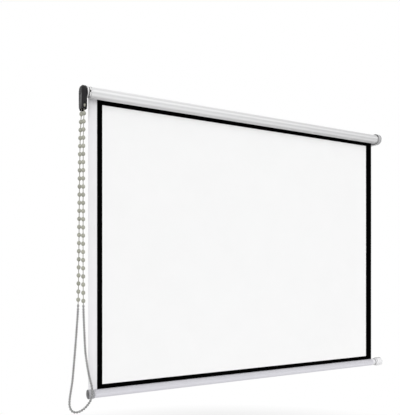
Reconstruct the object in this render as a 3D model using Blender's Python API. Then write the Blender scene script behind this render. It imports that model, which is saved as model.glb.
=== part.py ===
"""Chain-operated pull down projector screen, fully lowered.

Metres, +Z up, +X along the roller to the right, the room at -Y. The origin is on the wall plane,
at the middle of the left bracket's wall flange and at the height of the roller's axis.
"""

import math

import bmesh
import bpy
from mathutils import Matrix, Vector

for old in list(bpy.data.objects):
    bpy.data.objects.remove(old, do_unlink=True)

# Fits and edges
GAP = 0.0003
RUN = 0.0005
CHAMFER = 0.001
OVERRUN = 0.002

# Screen sheet
WHITE_WIDTH = 1.460
WHITE_HEIGHT = 1.0965
MARGIN_LEFT = 0.0363
BORDER_LEFT = 0.0215
BORDER_RIGHT = 0.038
BORDER_TOP = 0.0225
BORDER_BOTTOM = 0.0176
BORDER_DROP = 0.012
SHEET_THICKNESS = 0.0005
BORDER_THICKNESS = 0.0003
OUTER_TURN_END = 335.0

# Roller
AXIS_OUT = 0.0705
TUBE_RADIUS = 0.0203
TUBE_WALL = 0.0015
TUBE_OVERHANG = 0.0017
TURNS_THICKNESS = 0.0008
SPLINE_RADIUS = 0.0016
SPLINE_DEPTH = 0.003
RIB_HALF_WIDTH = 0.0035
RIB_HEIGHT = 0.0037
GROOVE_HALF_MOUTH = 0.0009

# Left bracket
PLATE_THICKNESS = 0.0025
FLANGE_WIDTH = 0.034
PLATE_TOP = 0.020
PLATE_BOTTOM = -0.034
PLATE_NOSE_RADIUS = 0.025
PLATE_NOSE_FRONT = 0.026
CEILING_TAB_DEPTH = 0.038
WALL_HOLE_RADIUS = 0.00275
WALL_HOLE_X = 0.006
WALL_HOLE_HEIGHTS = (0.010, -0.024)
SLOT_LENGTH = 0.012
SLOT_OUT = 0.021
SIDE_HOLE_RADIUS = 0.002
SHAFT_HOLE_EASE = 0.0015

# Chain, wheel and guard
BEAD_RADIUS = 0.0065
BEAD_PITCH = 0.031
BEADS_PER_TURN = 3
STRING_RADIUS = 0.0011
SMALL_BEAD_RADIUS = 0.004
SMALL_BEAD_PITCH = 0.015
SMALL_STRING_RADIUS = 0.0009
REAR_BEAD_DROP = 0.0215
WHEEL_RIM = 0.0009
WHEEL_LIP = 0.0017
RIM_CHAMFER = 0.0006
GROOVE_EASE = 0.0006
POCKET_EASE = 0.0007
POCKET_STRETCH = 1.4
GUARD_WALL = 0.0018
GUARD_BOTTOM = -0.074
GUARD_CORNER = 0.010
GUARD_SLOPE_LENGTH = 0.0068
GUARD_SLOPE_DROP = 0.0042
EAR_LENGTH = 0.011
EAR_THICKNESS = 0.003
EAR_EDGE = 0.006
EAR_SCREW_HEIGHTS = (0.009, -0.015)
WINDOW_HALF_WIDTH = 0.0045
WINDOW_HALF_HEIGHT = 0.0095
WINDOW_DROP = 0.0575
CONNECTOR_RADIUS = 0.0036
CONNECTOR_LENGTH = 0.013

# Clutch
HUB_FLANGE_RADIUS = 0.0222
HUB_FLANGE_THICKNESS = 0.0072
HUB_BARREL_RADIUS = 0.0115
HUB_BARREL_LENGTH = 0.039
SHAFT_RADIUS = 0.005
CROWN_COLLAR_RADIUS = 0.0214
PLUG_LEAD = 0.0018
CROWN_COLLAR_THICKNESS = 0.0055
CROWN_LENGTH = 0.042
CROWN_END_WALL = 0.006
CROWN_BORE_RADIUS = 0.0142
COLLAR_SPACING = 0.0035
KEY_HALF = 0.0034
KEY_LEAD = 0.002
TIP_RADIUS = 0.0025
TIP_LENGTH = 0.004
STUB_RADIUS = 0.0037
STUB_EASE = 0.0006
SCREW_SINK = 0.0008
CLIP_RADIUS = 0.0056
CLIP_HALF_MOUTH = 0.0016
CLIP_THICKNESS = 0.001
WRAP_WIRE_RADIUS = 0.0007
WRAP_TURNS = 5
WRAP_SETBACK = 0.004

# Idle end
PLUG_COLLAR_THICKNESS = 0.006
PLUG_LENGTH = 0.048
PLUG_CHAMBER_RADIUS = 0.0083
PLUG_MOUTH_WALL = 0.010
PLUG_CAP_THICKNESS = 0.003
PIN_RADIUS = 0.0041
PIN_SHOULDER_THICKNESS = 0.0032
PIN_TRAVEL = 0.008
PIN_TAIL = 0.014
PIN_END_EASE = 0.001
IDLE_WIRE_RADIUS = 0.0006
IDLE_COIL_RADIUS = 0.0062
IDLE_TURNS = 7

# Right bracket
IDLE_SPACING = 0.011
RIM_DEPTH = 0.015
RIGHT_RADIUS = 0.027
RIM_WALL = 0.0024
RIGHT_PLATE = 0.003
RIGHT_FLANGE_WIDTH = 0.040
RIGHT_HOLE_INSET = 0.0335
RIGHT_HOLE_HEIGHTS = (0.018, -0.018)
SOCKET_EASE = 0.0004
SOCKET_FLOOR = 0.0018
SOCKET_RADIUS = 0.009
SOCKET_LENGTH = 0.008
COVER_THICKNESS = 0.003
COVER_REAR = -0.001
PEG_RADIUS = 0.0022
PEG_LENGTH = 0.002

# Bottom bar
BAR_RADIUS = 0.0156
BAR_WALL = 0.0014
SLEEVE_WALL = 0.0006
KNOB_RADIUS = 0.019
KNOB_LENGTH = 0.024
CAP_RADIUS = 0.021
CAP_LENGTH = 0.039
SPIGOT_LENGTH = 0.020
SLEEVE_SETBACK = 0.002
BAR_OVERHANG = 0.0257
KNOB_NOTCH_EASE = 0.002

# Screws
SCREW_SHANK_RADIUS = 0.0019
SCREW_HEAD_RADIUS = 0.0033
SCREW_HEAD_HEIGHT = 0.0022
SCREW_HOLE_RADIUS = 0.0023
SCREW_PROTRUSION = 0.003
HUB_SCREW_CIRCLE = 0.0172

# Places along the roller, from the left
PLATE_OUT = -FLANGE_WIDTH / 2
PLATE_IN = PLATE_OUT + PLATE_THICKNESS
HUB_LEFT = PLATE_IN + GAP
HUB_RIGHT = HUB_LEFT + HUB_FLANGE_THICKNESS
CROWN_LEFT = HUB_RIGHT + COLLAR_SPACING
CROWN_SEAT = CROWN_LEFT + CROWN_COLLAR_THICKNESS
TUBE_LEFT = CROWN_SEAT + GAP
SHEET_LEFT = TUBE_LEFT + TUBE_OVERHANG
WHITE_LEFT = SHEET_LEFT + MARGIN_LEFT + BORDER_LEFT
WHITE_RIGHT = WHITE_LEFT + WHITE_WIDTH
SHEET_RIGHT = WHITE_RIGHT + BORDER_RIGHT
TUBE_RIGHT = SHEET_RIGHT + TUBE_OVERHANG
PLUG_SEAT = TUBE_RIGHT + GAP
PLUG_RIGHT = PLUG_SEAT + PLUG_COLLAR_THICKNESS
RIGHT_PLATE_IN = PLUG_RIGHT + IDLE_SPACING
RIM_LEFT = RIGHT_PLATE_IN - RIM_DEPTH
RIGHT_PLATE_OUT = RIGHT_PLATE_IN + RIGHT_PLATE
WHEEL_HALF_WIDTH = BEAD_RADIUS + POCKET_EASE / 2 + WHEEL_RIM
CHAIN_X = PLATE_OUT - RUN - WHEEL_HALF_WIDTH
GUARD_IN = CHAIN_X - WHEEL_HALF_WIDTH - RUN
GUARD_OUT = GUARD_IN - GUARD_WALL

# Radii about the roller's axis
CHAIN_RADIUS = BEADS_PER_TURN * BEAD_PITCH / (2 * math.pi)
GUARD_CAVITY = CHAIN_RADIUS + BEAD_RADIUS + RUN
GUARD_RADIUS = GUARD_CAVITY + GUARD_WALL
TUBE_BORE = TUBE_RADIUS - TUBE_WALL
TURNS_IN = TUBE_RADIUS + GAP
TURNS_OUT = TURNS_IN + TURNS_THICKNESS
SHEET_IN = TURNS_OUT + GAP
SHEET_OUT = SHEET_IN + SHEET_THICKNESS

# Heights
WHITE_TOP = -(BORDER_DROP + BORDER_TOP)
WHITE_BOTTOM = WHITE_TOP - WHITE_HEIGHT
SHEET_BOTTOM = WHITE_BOTTOM - BORDER_BOTTOM
SLEEVE_IN = BAR_RADIUS + GAP
SLEEVE_RADIUS = SLEEVE_IN + SLEEVE_WALL
BAR_DROP = SHEET_BOTTOM - GAP - SLEEVE_RADIUS

AXIS_Y = -AXIS_OUT
SHEET_Y = AXIS_Y + (SHEET_IN + SHEET_OUT) / 2

# The chain's free route, from the rear of the wheel down, round the bottom and up to its front
CHAIN_ROUTE = (
    (-0.0253, -0.0557, -0.0300),
    (-0.0254, -0.0557, -0.0700),
    (-0.0298, -0.0552, -0.1600),
    (-0.0322, -0.0547, -0.3000),
    (-0.0338, -0.0540, -0.4700),
    (-0.0354, -0.0530, -0.6500),
    (-0.0376, -0.0520, -0.8150),
    (-0.0425, -0.0515, -0.9000),
    (-0.0493, -0.0515, -0.9880),
    (-0.0548, -0.0518, -1.0500),
    (-0.0600, -0.0521, -1.1050),
    (-0.0666, -0.0526, -1.1463),
    (-0.0708, -0.0532, -1.1709),
    (-0.0723, -0.0542, -1.1933),
    (-0.0690, -0.0562, -1.2112),
    (-0.0604, -0.0598, -1.2225),
    (-0.0477, -0.0652, -1.2249),
    (-0.0351, -0.0720, -1.2205),
    (-0.0219, -0.0795, -1.2099),
    (-0.0104, -0.0860, -1.1955),
    (-0.0019, -0.0913, -1.1795),
    (0.0020, -0.0946, -1.1626),
    (0.0033, -0.0950, -1.1455),
    (0.0020, -0.0950, -1.1290),
    (-0.0017, -0.0949, -1.1130),
    (-0.0071, -0.0945, -1.0920),
    (-0.0121, -0.0940, -1.0688),
    (-0.0163, -0.0932, -1.0431),
    (-0.0202, -0.0922, -1.0150),
    (-0.0232, -0.0912, -0.9860),
    (-0.0269, -0.0895, -0.9050),
    (-0.0294, -0.0880, -0.8150),
    (-0.0303, -0.0872, -0.6500),
    (-0.0300, -0.0866, -0.4700),
    (-0.0296, -0.0861, -0.3000),
    (-0.0284, -0.0856, -0.1600),
    (-0.0256, -0.0853, -0.0700),
    (-0.0253, -0.0853, -0.0108),
)
ROUTE_STEPS = 24
JOIN_HEIGHT = -0.815


def material(name, colour, roughness, metallic=0.0, alpha=1.0):
    finish = bpy.data.materials.new(name)
    finish.use_nodes = True
    shader = finish.node_tree.nodes["Principled BSDF"]
    shader.inputs["Base Color"].default_value = (*colour, 1.0)
    shader.inputs["Roughness"].default_value = roughness
    shader.inputs["Metallic"].default_value = metallic
    shader.inputs["Alpha"].default_value = alpha
    finish.diffuse_color = (*colour, alpha)
    return finish


BLACK_STEEL = ("black_steel", (0.035, 0.036, 0.04), 0.45, 0.2)
BLACK_PLASTIC = ("black_plastic", (0.03, 0.03, 0.032), 0.4)
WHITE_PLASTIC = ("white_plastic", (0.83, 0.83, 0.82), 0.35)
GREY_PLASTIC = ("grey_plastic", (0.36, 0.36, 0.38), 0.35)
CLEAR_PLASTIC = ("clear_plastic", (0.62, 0.63, 0.65), 0.25)
WHITE_METAL = ("white_metal", (0.80, 0.80, 0.83), 0.3, 0.3)
BRIGHT_STEEL = ("bright_steel", (0.62, 0.62, 0.64), 0.3, 1.0)
WHITE_FABRIC = ("white_fabric", (0.88, 0.88, 0.89), 0.8)
HEM_FABRIC = ("hem_fabric", (0.77, 0.76, 0.79), 0.7)
BLACK_FABRIC = ("black_fabric", (0.012, 0.012, 0.012), 0.85)
CREAM_BEAD = ("cream_bead", (0.70, 0.69, 0.62), 0.35)
METAL_BEAD = ("metal_bead", (0.42, 0.42, 0.42), 0.35, 0.8)


def place(obj, finish, parent=None):
    obj.data.materials.append(material(obj.name + "_finish", *finish[1:]))
    bpy.context.scene.collection.objects.link(obj)
    obj.parent = parent
    return obj


def solid(name, bm, finish, parent=None, location=(0.0, 0.0, 0.0)):
    """An object from a bmesh, with its faces pointing out and its round faces smooth."""
    bmesh.ops.recalc_face_normals(bm, faces=bm.faces[:])
    mesh = bpy.data.meshes.new(name)
    bm.to_mesh(mesh)
    bm.free()
    mesh.shade_smooth()
    mesh.set_sharp_from_angle(angle=math.radians(35))
    obj = bpy.data.objects.new(name, mesh)
    obj.location = location
    return place(obj, finish, parent)


def spin_profile(bm, profile, steps, centre=(0.0, 0.0)):
    """Turns a closed outline of (x, radius) points about a line along X."""
    cy, cz = centre
    verts = [bm.verts.new((x, cy, cz + r)) for x, r in profile]
    edges = []
    for i, vert in enumerate(verts):
        after = (i + 1) % len(verts)
        if profile[i][1] > 0 or profile[after][1] > 0:
            edges.append(bm.edges.new((vert, verts[after])))
    bmesh.ops.spin(
        bm,
        geom=verts + edges,
        cent=(0, cy, cz),
        axis=(1, 0, 0),
        angle=2 * math.pi,
        steps=steps,
        use_merge=True,
    )
    bmesh.ops.remove_doubles(bm, verts=bm.verts[:], dist=1e-6)


def turned(name, profile, steps, finish, parent=None):
    bm = bmesh.new()
    spin_profile(bm, profile, steps)
    return solid(name, bm, finish, parent)


def ring(name, x0, x1, inner, outer, steps, finish, parent=None):
    """A plain tube or washer."""
    profile = [(x0, inner), (x0, outer), (x1, outer), (x1, inner)]
    return turned(name, profile, steps, finish, parent)


def extrude_outline(bm, outline, x0, x1):
    """A prism along X over a closed outline of (y, z) points."""
    face = bm.faces.new([bm.verts.new((x0, y, z)) for y, z in outline])
    grown = bmesh.ops.extrude_face_region(bm, geom=[face])
    moved = [v for v in grown["geom"] if isinstance(v, bmesh.types.BMVert)]
    bmesh.ops.translate(bm, verts=moved, vec=(x1 - x0, 0, 0))


def join_sections(bm, sections):
    """One closed solid along X through outlines of equal length, given as (x, outline)."""
    loops = [[bm.verts.new((x, y, z)) for y, z in outline] for x, outline in sections]
    for before, after in zip(loops, loops[1:]):
        for i in range(len(before)):
            k = (i + 1) % len(before)
            bm.faces.new((before[i], before[k], after[k], after[i]))
    bm.faces.new(loops[0])
    bm.faces.new(loops[-1])


def prism(name, outline, x0, x1, finish, parent=None):
    bm = bmesh.new()
    extrude_outline(bm, outline, x0, x1)
    return solid(name, bm, finish, parent)


def block(bm, low, high):
    outline = ((low[1], low[2]), (high[1], low[2]), (high[1], high[2]), (low[1], high[2]))
    extrude_outline(bm, outline, low[0], high[0])


def rod(bm, start, end, radius, steps=16):
    """A straight round bar between two points."""
    start, end = Vector(start), Vector(end)
    turn = Vector((0, 0, 1)).rotation_difference(end - start).to_matrix().to_4x4()
    turn.translation = (start + end) / 2
    bmesh.ops.create_cone(
        bm,
        cap_ends=True,
        segments=steps,
        radius1=radius,
        radius2=radius,
        depth=(end - start).length,
        matrix=turn,
    )


def helper(name, bm, parent=None):
    """A shape that only cuts or joins: hidden, and shown as wire."""
    bmesh.ops.recalc_face_normals(bm, faces=bm.faces[:])
    mesh = bpy.data.meshes.new(name)
    bm.to_mesh(mesh)
    bm.free()
    obj = bpy.data.objects.new(name, mesh)
    obj.hide_render = True
    obj.display_type = "WIRE"
    obj.parent = parent
    bpy.context.scene.collection.objects.link(obj)
    return obj


def combine(obj, other, operation):
    step = obj.modifiers.new(other.name, "BOOLEAN")
    step.operation = operation
    step.solver = "EXACT"
    step.object = other


def arc(centre, radius, start, end, steps):
    """Points of (y, z) along an arc, with angles in degrees from +Y towards +Z."""
    points = []
    for i in range(steps + 1):
        angle = math.radians(start + (end - start) * i / steps)
        points.append((centre[0] + radius * math.cos(angle), centre[1] + radius * math.sin(angle)))
    return points


def axis_empty(name, location):
    empty = bpy.data.objects.new(name, None)
    empty.location = location
    bpy.context.scene.collection.objects.link(empty)
    return empty


roller_axis = axis_empty("roller_axis", (0, AXIS_Y, 0))
bar_axis = axis_empty("bar_axis", (0, SHEET_Y, BAR_DROP))


def screw(name, head_face, direction, centre, length, parent=None):
    """A pan-head screw along X. head_face is the x that its head bears on."""
    reach = direction * length
    top = -direction * SCREW_HEAD_HEIGHT
    profile = [
        (head_face + reach, 0.0),
        (head_face + reach, SCREW_SHANK_RADIUS * 0.8),
        (head_face + reach * 0.9, SCREW_SHANK_RADIUS),
        (head_face, SCREW_SHANK_RADIUS),
        (head_face, SCREW_HEAD_RADIUS),
        (head_face + top * 0.6, SCREW_HEAD_RADIUS),
        (head_face + top, SCREW_HEAD_RADIUS * 0.7),
        (head_face + top, 0.0),
    ]
    bm = bmesh.new()
    spin_profile(bm, profile, 14, centre)
    obj = solid(name, bm, BRIGHT_STEEL, parent)
    recess = bmesh.new()
    ends = sorted((head_face + top * 0.45, head_face + top * 1.5))
    wide, narrow = SCREW_HEAD_RADIUS * 0.5, SCREW_HEAD_RADIUS * 0.13
    y, z = centre
    cross = (
        (y + wide, z - narrow),
        (y + wide, z + narrow),
        (y + narrow, z + narrow),
        (y + narrow, z + wide),
        (y - narrow, z + wide),
        (y - narrow, z + narrow),
        (y - wide, z + narrow),
        (y - wide, z - narrow),
        (y - narrow, z - narrow),
        (y - narrow, z - wide),
        (y + narrow, z - wide),
        (y + narrow, z - narrow),
    )
    extrude_outline(recess, cross, *ends)
    combine(obj, helper(name + "_recess", recess, parent), "DIFFERENCE")
    return obj


# Left bracket: a folded plate with a wall flange and a ceiling tab
EAR_TIP = AXIS_Y + GUARD_RADIUS + EAR_LENGTH
EAR_SCREWS = [(EAR_TIP - EAR_LENGTH / 2, z) for z in EAR_SCREW_HEIGHTS]
SIDE_HOLES = (
    (-0.011, 0.010, WALL_HOLE_RADIUS),
    (-0.022, -0.003, SIDE_HOLE_RADIUS),
    (-0.010, -0.026, SIDE_HOLE_RADIUS),
    (-0.021, -0.026, SIDE_HOLE_RADIUS),
)


def hub_screw_places():
    """The (y, z) centres of the three screws that hold the clutch's hub."""
    places = []
    for degrees in (90, 210, 330):
        angle = math.radians(degrees)
        places.append((AXIS_Y + HUB_SCREW_CIRCLE * math.cos(angle), HUB_SCREW_CIRCLE * math.sin(angle)))
    return places


def left_bracket():
    nose = (AXIS_Y - PLATE_NOSE_FRONT + PLATE_NOSE_RADIUS, PLATE_TOP - PLATE_NOSE_RADIUS)
    outline = [(0.0, PLATE_BOTTOM), (0.0, PLATE_TOP)]
    outline += arc(nose, PLATE_NOSE_RADIUS, 90, 270, 16)
    obj = prism("left_bracket", outline, PLATE_OUT, PLATE_IN, BLACK_STEEL)
    flange = bmesh.new()
    block(flange, (PLATE_OUT, -PLATE_THICKNESS, PLATE_BOTTOM), (-PLATE_OUT, 0.0, PLATE_TOP))
    combine(obj, helper("left_flange", flange), "UNION")
    tab = bmesh.new()
    tab_low = (PLATE_OUT, -CEILING_TAB_DEPTH, PLATE_TOP - PLATE_THICKNESS)
    block(tab, tab_low, (-PLATE_OUT, 0.0, PLATE_TOP))
    combine(obj, helper("left_ceiling_tab", tab), "UNION")

    holes = bmesh.new()
    left, right = PLATE_OUT - OVERRUN, PLATE_IN + OVERRUN
    rod(holes, (left, AXIS_Y, 0), (right, AXIS_Y, 0), SHAFT_RADIUS + SHAFT_HOLE_EASE, 24)
    for y, z in hub_screw_places():
        rod(holes, (left, y, z), (right, y, z), SCREW_HOLE_RADIUS, 12)
    for y, z in EAR_SCREWS:
        rod(holes, (left, y, z), (right, y, z), SCREW_HOLE_RADIUS, 12)
    for y, z, radius in SIDE_HOLES:
        rod(holes, (left, y, z), (right, y, z), radius, 12)
    front = -PLATE_THICKNESS - OVERRUN
    for z in WALL_HOLE_HEIGHTS:
        rod(holes, (WALL_HOLE_X, front, z), (WALL_HOLE_X, OVERRUN, z), WALL_HOLE_RADIUS, 16)
    combine(obj, helper("left_bracket_holes", holes), "DIFFERENCE")

    slot = bmesh.new()
    half = SLOT_LENGTH / 2
    slot_low = (WALL_HOLE_X - half, -SLOT_OUT - WALL_HOLE_RADIUS, PLATE_TOP - PLATE_THICKNESS - OVERRUN)
    block(slot, slot_low, (WALL_HOLE_X + half, -SLOT_OUT + WALL_HOLE_RADIUS, PLATE_TOP + OVERRUN))
    combine(obj, helper("ceiling_slot", slot), "DIFFERENCE")


def guard_outline(radius, bottom, corner):
    """Round over the top and straight down its sides, about the roller's axis."""
    outline = arc((AXIS_Y, 0.0), radius, 0, 180, 24)
    outline += arc((AXIS_Y - radius + corner, bottom + corner), corner, 180, 270, 5)
    outline += arc((AXIS_Y + radius - corner, bottom + corner), corner, 270, 360, 5)
    return outline


def chain_guard():
    """A cover over the wheel, open at the plate and the bottom, with its outer edge sloped."""
    inboard = PLATE_OUT - GAP
    outer = guard_outline(GUARD_RADIUS, GUARD_BOTTOM, GUARD_CORNER)
    lowered = GUARD_BOTTOM + GUARD_SLOPE_DROP
    face = guard_outline(GUARD_RADIUS - GUARD_SLOPE_DROP, lowered, GUARD_CORNER)
    shell = bmesh.new()
    join_sections(shell, ((GUARD_OUT, face), (GUARD_OUT + GUARD_SLOPE_LENGTH, outer), (inboard, outer)))
    obj = solid("chain_guard", shell, BLACK_PLASTIC)
    ear = bmesh.new()
    ear_y = AXIS_Y + GUARD_CAVITY + GUARD_WALL / 2
    ear_low = (inboard - EAR_THICKNESS, ear_y, min(EAR_SCREW_HEIGHTS) - EAR_EDGE)
    block(ear, ear_low, (inboard, EAR_TIP, max(EAR_SCREW_HEIGHTS) + EAR_EDGE))
    combine(obj, helper("guard_ear", ear), "UNION")
    cavity = bmesh.new()
    below = GUARD_BOTTOM - GUARD_CORNER - OVERRUN
    slope_length = GUARD_SLOPE_LENGTH - GUARD_WALL / 2
    drop = GUARD_SLOPE_DROP * slope_length / GUARD_SLOPE_LENGTH
    inner_face = guard_outline(GUARD_CAVITY - drop, below, GUARD_CORNER)
    inner = guard_outline(GUARD_CAVITY, below, GUARD_CORNER)
    shoulder = GUARD_IN + slope_length
    join_sections(cavity, ((GUARD_IN, inner_face), (shoulder, inner), (inboard + OVERRUN, inner)))
    combine(obj, helper("guard_cavity", cavity), "DIFFERENCE")
    holes = bmesh.new()
    stub_hole = STUB_RADIUS + STUB_EASE
    rod(holes, (GUARD_OUT - OVERRUN, AXIS_Y, 0), (GUARD_IN + OVERRUN, AXIS_Y, 0), stub_hole, 20)
    for y, z in EAR_SCREWS:
        hole_left = inboard - EAR_THICKNESS - OVERRUN
        rod(holes, (hole_left, y, z), (inboard + OVERRUN, y, z), SCREW_HOLE_RADIUS, 12)
    combine(obj, helper("guard_holes", holes), "DIFFERENCE")
    window = bmesh.new()
    front = AXIS_Y - GUARD_RADIUS
    stretch = Matrix.Diagonal((WINDOW_HALF_WIDTH, 1, WINDOW_HALF_HEIGHT, 1))
    bmesh.ops.create_cone(
        window,
        cap_ends=True,
        segments=20,
        radius1=1.0,
        radius2=1.0,
        depth=GUARD_WALL + 2 * OVERRUN,
        matrix=stretch @ Matrix.Rotation(math.pi / 2, 4, "X"),
    )
    centre = (CHAIN_X, front + GUARD_WALL / 2, -WINDOW_DROP)
    bmesh.ops.translate(window, verts=window.verts[:], vec=centre)
    combine(obj, helper("guard_window", window), "DIFFERENCE")


def guard_screws():
    head = PLATE_OUT - GAP - EAR_THICKNESS - GAP
    length = EAR_THICKNESS + PLATE_THICKNESS + SCREW_PROTRUSION
    for number, centre in enumerate(EAR_SCREWS, 1):
        screw(f"guard_screw_{number}", head, 1, centre, length)


def clutch_hub():
    barrel_end = HUB_RIGHT + HUB_BARREL_LENGTH
    bore = SHAFT_RADIUS + GAP
    profile = [
        (HUB_LEFT, bore),
        (HUB_LEFT, HUB_FLANGE_RADIUS - CHAMFER),
        (HUB_LEFT + CHAMFER, HUB_FLANGE_RADIUS),
        (HUB_RIGHT - CHAMFER, HUB_FLANGE_RADIUS),
        (HUB_RIGHT, HUB_FLANGE_RADIUS - CHAMFER),
        (HUB_RIGHT, HUB_BARREL_RADIUS),
        (barrel_end, HUB_BARREL_RADIUS),
        (barrel_end, bore),
    ]
    bm = bmesh.new()
    spin_profile(bm, profile, 40, (AXIS_Y, 0.0))
    obj = solid("clutch_hub", bm, WHITE_PLASTIC)
    holes = bmesh.new()
    sinks = bmesh.new()
    recess = HUB_RIGHT - SCREW_HEAD_HEIGHT - SCREW_SINK
    for y, z in hub_screw_places():
        rod(holes, (HUB_LEFT - OVERRUN, y, z), (HUB_RIGHT + OVERRUN, y, z), SCREW_HOLE_RADIUS, 12)
        rod(sinks, (recess, y, z), (HUB_RIGHT + OVERRUN, y, z), SCREW_HEAD_RADIUS + GAP, 16)
    combine(obj, helper("hub_holes", holes), "DIFFERENCE")
    combine(obj, helper("hub_screw_sinks", sinks), "DIFFERENCE")
    for number, centre in enumerate(hub_screw_places(), 1):
        screw(f"hub_screw_{number}", recess + GAP, -1, centre, recess - PLATE_OUT)


def pocket_angles():
    """Degrees at which the wheel's pockets lie, in step with the beads that it carries."""
    first = -math.degrees(REAR_BEAD_DROP / CHAIN_RADIUS)
    return [first + 360 * n / BEADS_PER_TURN for n in range(BEADS_PER_TURN)]


def chain_wheel():
    left, right = CHAIN_X - WHEEL_HALF_WIDTH, CHAIN_X + WHEEL_HALF_WIDTH
    lip = CHAIN_RADIUS + WHEEL_LIP
    string = STRING_RADIUS + GROOVE_EASE
    floor = CHAIN_RADIUS - string
    key_left = CROWN_SEAT + CROWN_LENGTH - CROWN_END_WALL - KEY_LEAD
    crown_end = CROWN_SEAT + CROWN_LENGTH
    profile = [
        (GUARD_OUT, 0.0),
        (GUARD_OUT, STUB_RADIUS),
        (left, STUB_RADIUS),
        (left, lip - RIM_CHAMFER),
        (left + RIM_CHAMFER, lip),
        (CHAIN_X - string, lip),
        (CHAIN_X - string, floor),
        (CHAIN_X + string, floor),
        (CHAIN_X + string, lip),
        (right - RIM_CHAMFER, lip),
        (right, lip - RIM_CHAMFER),
        (right, SHAFT_RADIUS),
        (key_left, SHAFT_RADIUS),
        (key_left, TIP_RADIUS),
        (crown_end + TIP_LENGTH, TIP_RADIUS),
        (crown_end + TIP_LENGTH, 0.0),
    ]
    obj = turned("chain_wheel", profile, 24, BLACK_PLASTIC, roller_axis)
    key = bmesh.new()
    block(key, (key_left - CHAMFER, -KEY_HALF, -KEY_HALF), (crown_end, KEY_HALF, KEY_HALF))
    combine(obj, helper("wheel_key", key, roller_axis), "UNION")
    pockets = bmesh.new()
    for angle in pocket_angles():
        turn = Matrix.Rotation(math.radians(angle), 4, "X")
        seat = Matrix.Translation((CHAIN_X, CHAIN_RADIUS, 0))
        stretch = Matrix.Diagonal((1, 1, POCKET_STRETCH, 1))
        bmesh.ops.create_uvsphere(
            pockets,
            u_segments=14,
            v_segments=8,
            radius=BEAD_RADIUS + POCKET_EASE,
            matrix=turn @ seat @ stretch,
        )
    combine(obj, helper("wheel_pockets", pockets, roller_axis), "DIFFERENCE")
    clip_left = crown_end + GAP
    clip_right = clip_left + CLIP_THICKNESS
    hole = TIP_RADIUS + GAP
    clip = ring("wheel_clip", clip_left, clip_right, hole, CLIP_RADIUS, 20, BRIGHT_STEEL, roller_axis)
    mouth = bmesh.new()
    block(mouth, (clip_left - OVERRUN, -CLIP_HALF_MOUTH, -CLIP_RADIUS - OVERRUN),
          (clip_right + OVERRUN, CLIP_HALF_MOUTH, 0.0))
    combine(clip, helper("clip_mouth", mouth, roller_axis), "DIFFERENCE")


def keyway(name, x0, x1):
    """The slot in a tube plug that the tube's inner rib slides into."""
    bm = bmesh.new()
    side = RIB_HALF_WIDTH + GAP
    top = -(TUBE_BORE - RIB_HEIGHT - GAP)
    block(bm, (x0, -side, -TUBE_RADIUS - OVERRUN), (x1, side, top))
    return helper(name, bm, roller_axis)


def drive_crown():
    end = CROWN_SEAT + CROWN_LENGTH
    body = TUBE_BORE - GAP
    profile = [
        (CROWN_LEFT, CROWN_BORE_RADIUS),
        (CROWN_LEFT, CROWN_COLLAR_RADIUS - CHAMFER),
        (CROWN_LEFT + CHAMFER, CROWN_COLLAR_RADIUS),
        (CROWN_SEAT, CROWN_COLLAR_RADIUS),
        (CROWN_SEAT, body),
        (end - PLUG_LEAD, body),
        (end, body - PLUG_LEAD),
        (end, 0.0),
        (end - CROWN_END_WALL, 0.0),
        (end - CROWN_END_WALL, CROWN_BORE_RADIUS),
    ]
    obj = turned("drive_crown", profile, 40, WHITE_PLASTIC, roller_axis)
    combine(obj, keyway("crown_keyway", CROWN_SEAT, end + OVERRUN), "DIFFERENCE")
    square = bmesh.new()
    half = KEY_HALF + GAP
    block(square, (end - CROWN_END_WALL - OVERRUN, -half, -half), (end + OVERRUN, half, half))
    combine(obj, helper("crown_square", square, roller_axis), "DIFFERENCE")


def coil(name, x0, x1, radius, wire, turns, finish, parent):
    """A helix of round wire about the parent's axis."""
    curve = bpy.data.curves.new(name, "CURVE")
    curve.dimensions = "3D"
    curve.bevel_depth = wire
    curve.bevel_resolution = 1
    curve.use_fill_caps = True
    count = turns * 10
    line = curve.splines.new("POLY")
    line.points.add(count)
    for i, point in enumerate(line.points):
        angle = 2 * math.pi * turns * i / count
        x = x0 + (x1 - x0) * i / count
        point.co = (x, radius * math.cos(angle), radius * math.sin(angle), 1.0)
    return place(bpy.data.objects.new(name, curve), finish, parent)


def wrap_spring():
    start = CROWN_SEAT
    end = HUB_RIGHT + HUB_BARREL_LENGTH - WRAP_SETBACK
    radius = (HUB_BARREL_RADIUS + CROWN_BORE_RADIUS) / 2
    coil("wrap_spring", start, end, radius, WRAP_WIRE_RADIUS, WRAP_TURNS, BRIGHT_STEEL, roller_axis)


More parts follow.
